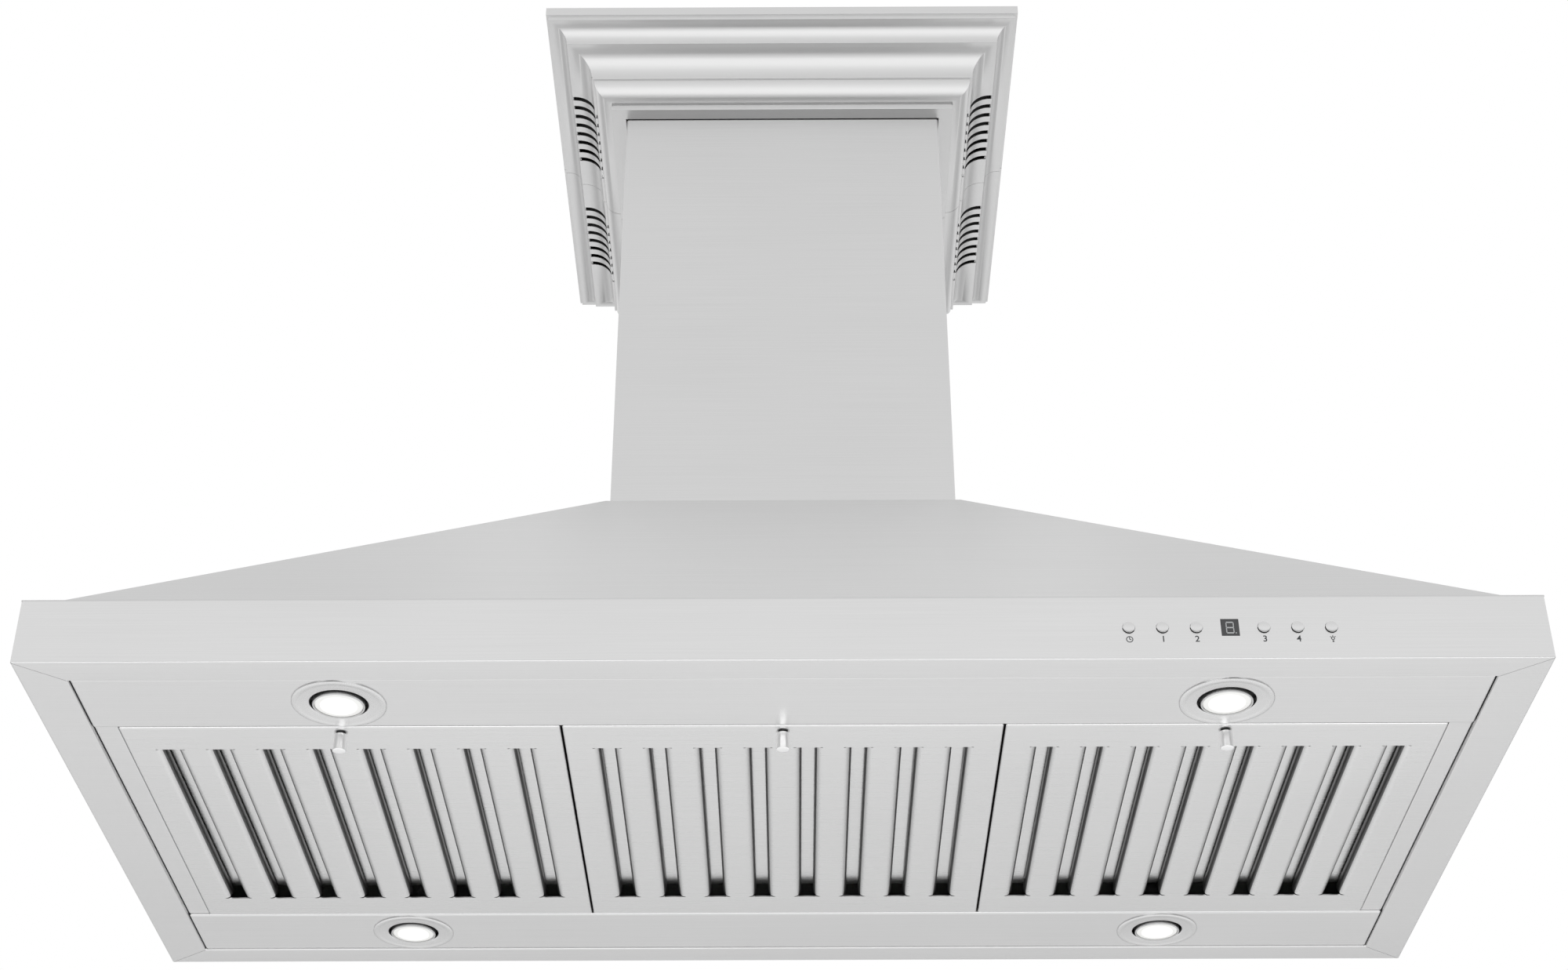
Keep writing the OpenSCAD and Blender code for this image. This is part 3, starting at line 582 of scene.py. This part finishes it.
def makeTray():
    low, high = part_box("filter_tray_middle")
    half = tray["opening"] / 2 + tray["curl"]
    slotY = high.y - tray["margin"]
    lipY = slotY - tray["relief"]  # a fine slit frees each end of the curled edges
    centres = [(k - (tray["slots"] - 1) / 2) * tray["pitch"] for k in range(tray["slots"])]
    piece = addBox("filterTrayMiddle", low, high)
    editMesh(piece)
    pick(piece, "FACE", lambda c, n: n.z > 0.9)
    bpy.ops.mesh.delete(type="FACE")
    lines = [((x + side * half, 0, 0), (1, 0, 0)) for x in centres for side in (-1, 1)]
    lines += [((0, side * y, 0), (0, 1, 0)) for side in (-1, 1) for y in (slotY, lipY)]
    for point, direction in lines:
        pick(piece, "FACE", lambda c, n: n.z < -0.9)
        bpy.ops.mesh.bisect(plane_co=point, plane_no=direction)

    def inSlot(c, n):
        return n.z < -0.9 and abs(c.y) < slotY and any(abs(c.x - x) < half for x in centres)
    pick(piece, "FACE", inSlot)
    bpy.ops.mesh.delete(type="FACE")
    for side in (-1, 1):
        def onEdge(c, d):
            return near(c.z, low.z) and abs(c.y) < lipY and any(near(c.x, x + side * half) for x in centres)
        pick(piece, "EDGE", onEdge)
        for k in range(tray["steps"]):
            a, b = (math.pi / 2 * j / tray["steps"] for j in (k, k + 1))
            across = -side * tray["curl"] * (math.sin(b) - math.sin(a))
            rise = tray["curl"] * (math.cos(a) - math.cos(b))
            bpy.ops.mesh.extrude_edges_move(TRANSFORM_OT_translate={"value": (across, 0, rise)})
        bpy.ops.mesh.extrude_edges_move(
            TRANSFORM_OT_translate={"value": (0, 0, tray["curlTall"] - tray["curl"])})
    endEdit()
    roundFolds(piece, tray["foldRound"], segments=4, angle=60)
    thicken(piece, tray["sheet"])
    return piece


def middleOf(node):
    low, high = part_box(node)
    return (low + high) / 2


middleTray = makeTray()
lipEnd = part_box("filter_tray_middle")[1].y - tray["margin"]
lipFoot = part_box("filter_tray_middle")[0].z + 0.3 * tray["curl"]
filterShift = {}
for side in ("left", "middle", "right"):
    shift = middleOf("filter_tray_" + side) - middleOf("filter_tray_middle")
    filterShift[side] = shift
    piece = middleTray
    if side != "middle":
        piece = moved(middleTray, "filterTray" + side.title(), shift)
    underside.append(show(piece, "filter", "filter_" + side, ["filter_tray_" + side], angle=40))
    # the curled lips' inner walls get a darker steel: painted shade inside the slots
    secondFinish(piece, "lip", lambda c, n: abs(n.x) > 0.7 and abs(c.y) < lipEnd and c.z > lipFoot)
print("filters made")


# Filter knobs: a turned pull with a neck, its edges broken

knob = {"radius": 5.5 * mm, "neck": 4 * mm, "edge": 0.5 * mm, "standOff": 1.2 * mm, "fit": 0.05 * mm}


def makeKnob():
    low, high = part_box("filter_knob_middle")
    centre = middleOf("filter_knob_middle")
    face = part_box("filter_tray_middle")[0].z
    foot = low.z - centre.z
    top = face - centre.z
    r, e = knob["radius"], knob["edge"]
    outline = [(0.2 * mm, foot), (r - 3 * e, foot), (r - e, foot + 0.2 * e), (r - 0.3 * e, foot + 0.5 * e),
               (r, foot + 1.2 * e), (r, top - knob["standOff"] - e), (r - e, top - knob["standOff"]),
               (knob["neck"], top - knob["standOff"]), (knob["neck"], top - knob["fit"]),
               (0.2 * mm, top - knob["fit"])]
    piece = turned("filterKnobMiddle", centre, outline, 64)
    capEnds(piece)
    return piece


middleKnob = makeKnob()
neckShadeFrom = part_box("filter_tray_middle")[0].z - knob["standOff"] + 0.1 * mm
for side in ("left", "middle", "right"):
    piece = middleKnob
    if side != "middle":
        piece = moved(middleKnob, "filterKnob" + side.title(), filterShift[side])
    underside.append(show(piece, "knob", "filter_" + side, ["filter_knob_" + side]))
    secondFinish(piece, "blackPlastic", lambda c, n: c.z > neckShadeFrom)  # painted shade: the neck between knob and filter face is coloured black plastic
print("knobs made")


# Lamps: dished trim ring with its cup, tilting head, domed lens

lamp = {"ring": 38 * mm, "opening": 23.5 * mm, "ringThick": 1.5 * mm, "cup": 32 * mm, "cupWall": 2.5 * mm,
        "cupTall": 34 * mm, "head": 21 * mm,
        "lens": 19.5 * mm, "softFrom": 0.55, "dimFrom": 0.76}


def makeTrim():
    face = lamp["ringThick"]  # heights count up from the ring's lowest face
    outline = [
        (lamp["ring"], face - 0.05 * mm), (lamp["ring"], 0.7 * mm), (lamp["ring"] - 0.4 * mm, 0.25 * mm),
        (lamp["ring"] - 1.2 * mm, 0.02 * mm), (lamp["ring"] - 3.5 * mm, 0),
        (lamp["ring"] - 5 * mm, 0.25 * mm),
        (lamp["ring"] - 6.5 * mm, 0.35 * mm), (lamp["opening"] + 1.0 * mm, 0.4 * mm),
        (lamp["opening"] + 0.3 * mm, 0.75 * mm), (lamp["opening"], 1.2 * mm), (lamp["opening"], face),
        (lamp["cup"] - lamp["cupWall"], face + 0.4 * mm),
        (lamp["cup"] - lamp["cupWall"], face + lamp["cupTall"] - lamp["cupWall"]),
        (0.2 * mm, face + lamp["cupTall"] - lamp["cupWall"]), (0.2 * mm, face + lamp["cupTall"]),
        (lamp["cup"] - 0.6 * mm, face + lamp["cupTall"]), (lamp["cup"], face + lamp["cupTall"] - 0.6 * mm),
        (lamp["cup"], face - 0.05 * mm)]
    return turned("lampTrim_front_left", lampCentre("front_left"), outline, 128, closed=True)


def makeHead():
    low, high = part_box("lamp_head_front_left")
    centre = lampCentre("front_left")
    centre.z = low.z
    tall, r = high.z - low.z, lamp["head"]
    seat = lamp["lens"]
    outline = [(0.2 * mm, 2.2 * mm), (seat, 2.2 * mm), (seat, 0.3 * mm), (seat + 0.3 * mm, 0),
               (r - 0.5 * mm, 0), (r, 0.5 * mm), (r, tall - 5 * mm), (r - 2 * mm, tall - 4.5 * mm),
               (r - 2 * mm, tall - 0.6 * mm), (r - 2.6 * mm, tall), (0.2 * mm, tall)]
    piece = turned("lampHead_front_left", centre, outline, 96)
    capEnds(piece)
    return piece


def makeLens():
    low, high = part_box("lamp_lens_front_left")
    centre = lampCentre("front_left")
    centre.z = low.z
    r = lamp["lens"] - 0.15 * mm
    dome = [(r * math.sin(math.radians(a)), 1.2 * mm - 1.2 * mm * math.cos(math.radians(a)))
            for a in range(10, 91, 10)]
    outline = [(0.2 * mm, 0)] + dome + [(r, 2.0 * mm), (0.2 * mm, 2.0 * mm)]
    piece = turned("lampLens_front_left", centre, outline, 96)
    capEnds(piece)
    return piece


def dimEdge(piece, centre):
    # the diodes sit in the middle, so the lens is dimmer towards its edge
    for material, start in (("lensSoft", lamp["softFrom"]), ("lensEdge", lamp["dimFrom"])):
        secondFinish(piece, material, lambda c, n: (c - centre).xy.length / lamp["lens"] > start)


lampParts = {"lampTrim_": (makeTrim(), "trim", "lamp_trim_", None),
             "lampHead_": (makeHead(), "lampMetal", "lamp_head_", "lamp_"),
             "lampLens_": (makeLens(), "lens", "lamp_lens_", "lamp_")}
for title, (first, material, node, body) in lampParts.items():
    for name in lampNames:
        shift = lampCentre(name) - lampCentre("front_left")
        piece = first if name == "front_left" else moved(first, title + name, shift)
        show(piece, material, body + name if body else "root", [node + name], angle=40)
        if title == "lampLens_":
            dimEdge(piece, lampCentre(name))
        underside.append(piece)
print("lamps made")


# Chimney cover: a square tube with rounded corners

chimney = {"cornerRound": 1.6 * mm, "sheet": 1.2 * mm}


def makeChimney():
    low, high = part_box("chimney_cover")
    piece = addBox("chimneyCover", low, high)
    editMesh(piece)
    pick(piece, "FACE", lambda c, n: abs(n.z) > 0.9)
    bpy.ops.mesh.delete(type="FACE")
    endEdit()
    roundFolds(piece, chimney["cornerRound"], segments=4)
    thicken(piece, chimney["sheet"])
    return piece


show(makeChimney(), "chimney", "root", ["chimney_cover"])
print("chimney made")


# Crown: one vertex draws the section, the section is drawn out straight, and lengths are mitred together

crown = {"sheet": 1.2 * mm, "fascia": 9.3 * mm, "groove": 2.5 * mm, "bead": 4.2 * mm, "beadStep": 3 * mm,
         "cove1": 14 * mm, "foot1": 1.5 * mm, "ledge": 2.5 * mm, "cove2": 21 * mm, "foot2": 3 * mm,
         "ovolo": 16 * mm, "recess": 2 * mm, "plinth": 7 * mm, "plinthStep": 1.5 * mm, "inner": 152.8 * mm,
         "lip": 14 * mm, "seam": 0.4 * mm, "edgeRound": 0.5 * mm, "arcSteps": 16}
grille = {"middle": 85.5 * mm, "count": 8, "pitch": 13 * mm, "wide": 5.2 * mm, "endUp": 2 * mm,
          "holeIn": 2.4 * mm, "holeUp": 1.4 * mm}


def drawCrownSection(top):
    deselectAll()
    bpy.ops.mesh.primitive_plane_add(size=1 * mm, location=top)
    piece = placed("crownSide")
    editMesh(piece, "VERT")
    bpy.ops.mesh.select_all(action="SELECT")
    bpy.ops.mesh.merge(type="CENTER")
    pen = Vector(top)

    def go(x, z):
        bpy.ops.mesh.extrude_vertices_move(TRANSFORM_OT_translate={"value": (x, 0, z)})
        pen.x += x
        pen.z += z

    def arc(x, z, degrees):
        # turns the pen about a centre beside it
        centre = pen + Vector((x, 0, z))
        bpy.ops.mesh.spin(steps=crown["arcSteps"], angle=math.radians(degrees), center=centre,
                          axis=(0, 1, 0))
        pen.xz = (centre + Matrix.Rotation(math.radians(-degrees), 3, "Y") @ (pen - centre)).xz

    go(0, -crown["fascia"])
    go(-crown["groove"], 0)
    go(0, -crown["bead"])
    go(-crown["beadStep"], 0)
    arc(0, -crown["cove1"], 90)
    go(0, -crown["foot1"])
    go(-crown["ledge"], 0)
    arc(0, -crown["cove2"], 90)
    go(0, -crown["foot2"])
    go(-crown["ledge"], 0)
    arc(-crown["ovolo"], 0, -90)
    go(-crown["recess"], 0)
    go(0, -crown["recess"])
    go(crown["plinthStep"], 0)
    go(0, -(crown["plinth"] - crown["recess"]))
    go(crown["inner"] - pen.x, 0)
    go(0, crown["lip"])
    return piece


def cutGrilles(piece, reach, top):
    # slots across the second cove and small holes below it, cut by bisecting and deleting faces
    ledgeX = reach - crown["groove"] - crown["beadStep"] - crown["cove1"]
    ledgeZ = top - crown["fascia"] - crown["bead"] - crown["cove1"] - crown["foot1"]
    footX = ledgeX - crown["ledge"] - crown["cove2"]
    footZ = ledgeZ - crown["cove2"] - crown["foot2"]
    coveEnd = ledgeZ - crown["cove2"] + grille["endUp"]
    centres = [side * grille["middle"] + (k - (grille["count"] - 1) / 2) * grille["pitch"]
               for side in (-1, 1) for k in range(grille["count"])]
    half = grille["wide"] / 2
    editMesh(piece)
    for y in centres:
        for edge in (y - half, y + half):
            pick(piece, "FACE", lambda c, n: coveEnd < c.z < ledgeZ + 0.1 * mm and c.x < ledgeX)
            bpy.ops.mesh.bisect(plane_co=(0, edge, 0), plane_no=(0, 1, 0))
            pick(piece, "FACE", lambda c, n: abs(c.z - footZ) < 2 * mm
                 and footX - grille["holeIn"] < c.x < footX + 0.1 * mm)
            bpy.ops.mesh.bisect(plane_co=(0, edge, 0), plane_no=(0, 1, 0))
    pick(piece, "FACE", lambda c, n: abs(c.z - footZ) < 2 * mm and c.x < footX + 0.1 * mm)
    bpy.ops.mesh.bisect(plane_co=(footX - grille["holeIn"], 0, 0), plane_no=(1, 0, 0))
    pick(piece, "FACE", lambda c, n: abs(c.z - footZ) < 4 * mm and abs(c.x - footX) < 0.1 * mm)
    bpy.ops.mesh.bisect(plane_co=(0, 0, footZ + grille["holeUp"]), plane_no=(0, 0, 1))

    def inOpening(c, n):
        inSlot = coveEnd < c.z < ledgeZ + 0.1 * mm and c.x < ledgeX - 0.5 * mm
        inHole = c.z < footZ + grille["holeUp"] and footX - grille["holeIn"] < c.x < footX + 0.1 * mm
        return (inSlot or inHole and c.z > footZ - 0.1 * mm) and any(abs(c.y - y) < half for y in centres)
    pick(piece, "FACE", inOpening)
    bpy.ops.mesh.delete(type="FACE")
    endEdit()


def makeCrownHalf():
    low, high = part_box("crown_front")
    reach, spare = high.x, 5 * mm
    piece = drawCrownSection((reach, 0, high.z))
    bpy.ops.mesh.select_all(action="SELECT")
    bpy.ops.transform.translate(value=(0, reach + spare, 0))
    bpy.ops.mesh.select_mode(type="EDGE")
    bpy.ops.mesh.select_all(action="SELECT")
    bpy.ops.mesh.extrude_edges_move(TRANSFORM_OT_translate={"value": (0, -2 * (reach + spare), 0)})
    endEdit()
    outward(piece)
    faceOut(piece, Vector((1, 0, 0)))
    roundFolds(piece, crown["edgeRound"], segments=2)
    editMesh(piece)
    for side in (-1, 1):
        bpy.ops.mesh.select_all(action="SELECT")
        bpy.ops.mesh.bisect(plane_co=(0, 0, 0), plane_no=(-1, side, 0), clear_outer=True)
    endEdit()
    front = moved(piece, "crownFrontSide", (0, 0, 0))
    front.data.transform(Matrix.Rotation(-math.pi / 2, 4, "Z"))
    cutGrilles(piece, reach, high.z)
    left = moved(piece, "crownLeftSide", (0, 0, 0))
    left.data.transform(Matrix.Rotation(math.pi, 4, "Z"))
    piece = joinPieces([piece, front, left], "crownFront")
    editMesh(piece)
    bpy.ops.mesh.select_all(action="SELECT")
    bpy.ops.mesh.remove_doubles(threshold=0.01 * mm)
    bpy.ops.mesh.select_all(action="SELECT")
    bpy.ops.mesh.bisect(plane_co=(0, -crown["seam"] / 2, 0), plane_no=(0, 1, 0), clear_outer=True)
    endEdit()
    thicken(piece, crown["sheet"])
    return piece


crownFront = makeCrownHalf()
crownRear = moved(crownFront, "crownRear", (0, 0, 0))
crownRear.data.transform(Matrix.Rotation(math.pi, 4, "Z"))
show(crownFront, "crown", "root", ["crown_front"], angle=28)
show(crownRear, "crown", "root", ["crown_rear"], angle=28)
print("crown made")


# Controls: domed buttons, the display's window and digit, printed legends

button = {"radius": 4.75 * mm, "domeTall": 0.7 * mm, "rim": 1.3 * mm, "rimThick": 1.2 * mm,
          "play": 0.2 * mm, "stem": 3 * mm}


def makeButton(i):
    # turned about its own axis with the dome down, then laid over to face forwards
    low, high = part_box(f"button_{i}")
    r, out = button["radius"], high.y - low.y
    back = (-frontY) + low.y  # the dome's top, in front of the band
    wall = skirt["sheet"] + button["play"] - back
    dome = []
    for k in range(1, 9):
        a = math.pi / 2 * k / 8
        dome.append((r * math.sin(a), button["domeTall"] * (1 - math.cos(a))))
    outline = [(0.2 * mm, 0)] + dome + [(r, wall), (r + button["rim"], wall),
                                        (r + button["rim"], wall + button["rimThick"]),
                                        (button["stem"], wall + button["rimThick"]), (button["stem"], out),
                                        (0.2 * mm, out)]
    piece = turned(f"button{i}", (0, 0, 0), outline, 64)
    capEnds(piece)
    middle = (low + high) / 2
    lay = Matrix.Rotation(-math.pi / 2, 4, "X")
    piece.data.transform(Matrix.Translation((middle.x, low.y, middle.z)) @ lay)
    return piece


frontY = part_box("canopy_skirt")[0].y
firstButton = makeButton(1)
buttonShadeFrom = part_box("button_1")[0].y + button["domeTall"]
for i in range(1, 7):
    piece = firstButton
    if i > 1:
        piece = moved(firstButton, f"button{i}", middleOf(f"button_{i}") - middleOf("button_1"))
    show(piece, "chrome", f"push_{i}", [f"button_{i}"])
    # the cap's side wall behind the dome is coloured black plastic: painted shade of the gap round the cap
    secondFinish(piece, "blackPlastic", lambda c, n: c.y > buttonShadeFrom and abs(n.y) < 0.5)

display = {"windowRound": 0.5 * mm, "digitTall": 9.5 * mm, "digitWide": 5.6 * mm, "stroke": 1.1 * mm,
           "proud": 0.05 * mm, "sink": 0.3 * mm}


def makeWindow():
    low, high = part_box("control_display")
    piece = addBox("displayWindow", low, high)
    editMesh(piece)
    pick(piece, "FACE", lambda c, n: n.y < -0.9)
    bpy.ops.mesh.inset(thickness=display["windowRound"])
    bpy.ops.transform.translate(value=(0, display["sink"], 0))
    endEdit()
    roundFolds(piece, 0.15 * mm, segments=2)
    return piece


def makeDigit():
    # seven unlit bars and a dot behind the window's face
    low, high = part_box("control_display")
    middle = Vector(((low.x + high.x) / 2, low.y + display["sink"], (low.z + high.z) / 2))
    w, h, s = display["digitWide"] / 2, display["digitTall"] / 2, display["stroke"] / 2
    bars = [(0, h, w, s), (0, 0, w, s), (0, -h, w, s), (-w, h / 2, s, h / 2), (w, h / 2, s, h / 2),
            (-w, -h / 2, s, h / 2), (w, -h / 2, s, h / 2), (w + 3 * s, -h, s, s)]
    pieces = []
    for k, (x, z, halfX, halfZ) in enumerate(bars):
        gap = 0.18 * mm
        half = Vector((halfX - gap, display["proud"], halfZ - gap if halfZ > s else s))
        centre = middle + Vector((x, 0, z))
        pieces.append(addBox(f"bar{k}", centre - half, centre + half))
    piece = joinPieces(pieces, "displayDigit")
    roundFolds(piece, 0.04 * mm, segments=1)
    return piece


show(makeWindow(), "window", "root", ["control_display"])
digit = makeDigit()
smooth(digit)
digit.data.materials.append(finish["segment"])
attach(digit, "root")

legend = {"drop": 10.4 * mm, "tall": 5.6 * mm, "stroke": 0.7 * mm, "proud": 0.03 * mm, "weight": 0.12 * mm}


def standUp(piece, x, z):
    # a flat sign made lying down is stood against the band
    piece.data.transform(Matrix.Translation((x, frontY, z)) @ Matrix.Rotation(math.pi / 2, 4, "X"))
    return piece


def makeNumber(text):
    deselectAll()
    bpy.ops.object.text_add()
    sign = bpy.context.object
    sign.data.body = text
    sign.data.size = legend["tall"] * 1.35
    sign.data.align_x = "CENTER"
    sign.data.align_y = "CENTER"
    sign.data.extrude = legend["proud"]
    sign.data.offset = legend["weight"]
    bpy.ops.object.convert(target="MESH")
    return placed("number" + text)


def makeHoop(name, radius, x=0, y=0):
    deselectAll()
    bpy.ops.mesh.primitive_circle_add(vertices=40, radius=radius, location=(x, y, 0), fill_type="NGON")
    piece = placed(name)
    editMesh(piece)
    bpy.ops.mesh.select_all(action="SELECT")
    bpy.ops.mesh.inset(thickness=legend["stroke"])
    bpy.ops.mesh.delete(type="FACE")
    bpy.ops.mesh.select_all(action="SELECT")
    bpy.ops.mesh.extrude_region_move(TRANSFORM_OT_translate={"value": (0, 0, legend["proud"])})
    endEdit()
    outward(piece)
    return piece


def makeStroke(name, start, end):
    a, b = Vector(start), Vector(end)
    half = legend["stroke"] / 2
    piece = addBox(name, (0, -half, 0), ((b - a).length, half, legend["proud"]))
    angle = math.atan2(b.y - a.y, b.x - a.x)
    piece.data.transform(Matrix.Translation((a.x, a.y, 0)) @ Matrix.Rotation(angle, 4, "Z"))
    return piece


def makeClockSign():
    r = legend["tall"] / 2
    return joinPieces([makeHoop("clockHoop", r), makeStroke("handLong", (0, 0), (0, 0.7 * r)),
                       makeStroke("handShort", (0, 0), (0.5 * r, -0.15 * r))], "clockSign")


def makeLampSign():
    r = legend["tall"] / 2
    parts = [makeHoop("bulbHoop", 0.55 * r, 0, 0.15 * r)]
    for k, y in enumerate((-0.65, -0.95)):
        parts.append(makeStroke(f"bulbBase{k}", (-0.25 * r, y * r), (0.25 * r, y * r)))
    for k in range(3):
        a = math.radians(45 + 45 * k)
        ray = Vector((math.cos(a), math.sin(a), 0))
        parts.append(makeStroke(f"ray{k}", 0.75 * r * ray, 1.05 * r * ray))
    return joinPieces(parts, "lampSign")


signs = [makeClockSign()] + [makeNumber(text) for text in "1234"] + [makeLampSign()]
for i, sign in enumerate(signs):
    place = middleOf(f"button_{i + 1}")
    standUp(sign, place.x, place.z - legend["drop"])
legends = joinPieces(signs, "controlLegends")
legends.data.materials.clear()
legends.data.materials.append(finish["ink"])
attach(legends, "root")
print("controls made")


# Stage: pale floor, soft light all round, the camera below and in front

stage = {"floorLevel": -4.0, "floorHalf": 14.0, "lens": 56.63,
         "cameraPlace": (0.00764, -1.97362, -1.70078), "pitch": 0.5812, "roll": -0.0016, "yaw": 0.0036}
# brightness of the surroundings by direction: a height from -1 at the feet to 1 overhead, then a grey
skyBands = [(0.00, "#a0a0a0"), (0.48, "#b0b0b0"), (0.54, "#f4f4f4"), (0.70, "#ffffff"), (0.82, "#f2f2f2"),
            (1.00, "#f4f4f4")]


lights = {
    # low over the floor: a pool of light under and behind the hood, which lights it from below
    "floorSoftbox": {"place": (0, 2.4, -1.8), "target": (0, 2.4, stage["floorLevel"]),
                     "size": (13.0, 7.4), "power": 248, "seen": False},
    # soft fills that reach single pieces: the crown's mouldings, and the roof below the chimney
    "crownFill": {"place": (0, -2.0, -1.1), "target": (0, -0.2, -0.05), "size": (2.8, 2.6), "power": 15,
                  "lit": [crownFront, crownRear]},
    "roofFill": {"place": (0, -0.27, -0.2), "target": (0, -0.24, -0.6), "size": (0.6, 0.2),
                 "power": 0.15, "lit": [roofPiece]},
    # low in front: puts the fine bright line along the folds of the underside
    "foldFill": {"place": (0, -2.0, -2.1), "target": (0, -0.25, -0.76), "size": (3.6, 1.0), "power": 16,
                 "lit": underside},
}


def makeFloor():
    half, level = stage["floorHalf"], stage["floorLevel"]
    piece = addBox("floor", (-half, -half, level - 0.02), (half, half, level))
    roundFolds(piece, 5 * mm)
    piece.data.materials.append(finish["floor"])


def makeSky():
    # a soft studio tent: reflections see a gentle change with height, the backdrop is plain white
    world = bpy.data.worlds.new("SoftStudio")
    bpy.context.scene.world = world
    world.use_nodes = True
    tree = world.node_tree
    tent = tree.nodes["Background"]
    way = addNode(tree, "ShaderNodeTexCoord").outputs["Generated"]
    height = addNode(tree, "ShaderNodeSeparateXYZ", {"Vector": way}).outputs["Z"]
    share = addNode(tree, "ShaderNodeMapRange", {"Value": height, "From Min": -1.0}).outputs["Result"]
    ramp = addNode(tree, "ShaderNodeValToRGB", {"Fac": share})
    bands = ramp.color_ramp.elements
    while len(bands) < len(skyBands):
        bands.new(0.5)
    for band, (level, grey) in zip(bands, skyBands):
        band.position, band.color = level, linear(grey)
    tree.links.new(ramp.outputs["Color"], tent.inputs["Color"])
    tent.inputs["Strength"].default_value = 1.0
    backdrop = addNode(tree, "ShaderNodeBackground", {"Color": linear("#ffffff"), "Strength": 1.0})
    ray = addNode(tree, "ShaderNodeLightPath").outputs["Is Camera Ray"]
    mix = addNode(tree, "ShaderNodeMixShader", {"Fac": ray})
    tree.links.new(tent.outputs["Background"], mix.inputs[1])
    tree.links.new(backdrop.outputs["Background"], mix.inputs[2])
    tree.links.new(mix.outputs["Shader"], tree.nodes["World Output"].inputs["Surface"])


def addSoftbox(name, place, target, size, power, seen=True, lit=()):
    light = bpy.data.lights.new(name, "AREA")
    light.shape = "RECTANGLE"
    light.size, light.size_y = size
    light.energy = power
    box = bpy.data.objects.new(name, light)
    bpy.context.collection.objects.link(box)
    box.location = place
    box.rotation_euler = (Vector(target) - Vector(place)).to_track_quat("-Z", "Y").to_euler()
    box.visible_camera = False
    box.visible_glossy = seen
    if lit:
        group = bpy.data.collections.new(name + "Pieces")
        for piece in lit:
            group.objects.link(piece)
        box.light_linking.receiver_collection = group


def addCamera():
    camera = bpy.data.cameras.new("Camera")
    camera.lens = stage["lens"]
    camera.sensor_width = 36
    camera.clip_start, camera.clip_end = 0.01, 60
    eye = bpy.data.objects.new("Camera", camera)
    bpy.context.collection.objects.link(eye)
    turn = Matrix.Rotation(stage["yaw"], 3, "Z") @ Matrix.Rotation(math.pi / 2 + stage["pitch"], 3, "X")
    turn = turn @ Matrix.Rotation(stage["roll"], 3, "Z")
    eye.location = stage["cameraPlace"]
    eye.rotation_euler = turn.to_euler()
    bpy.context.scene.camera = eye


makeFloor()
makeSky()
for name, light in lights.items():
    addSoftbox(name, **light)
addCamera()
bpy.context.scene.view_settings.view_transform = "Standard"
print("stage set")
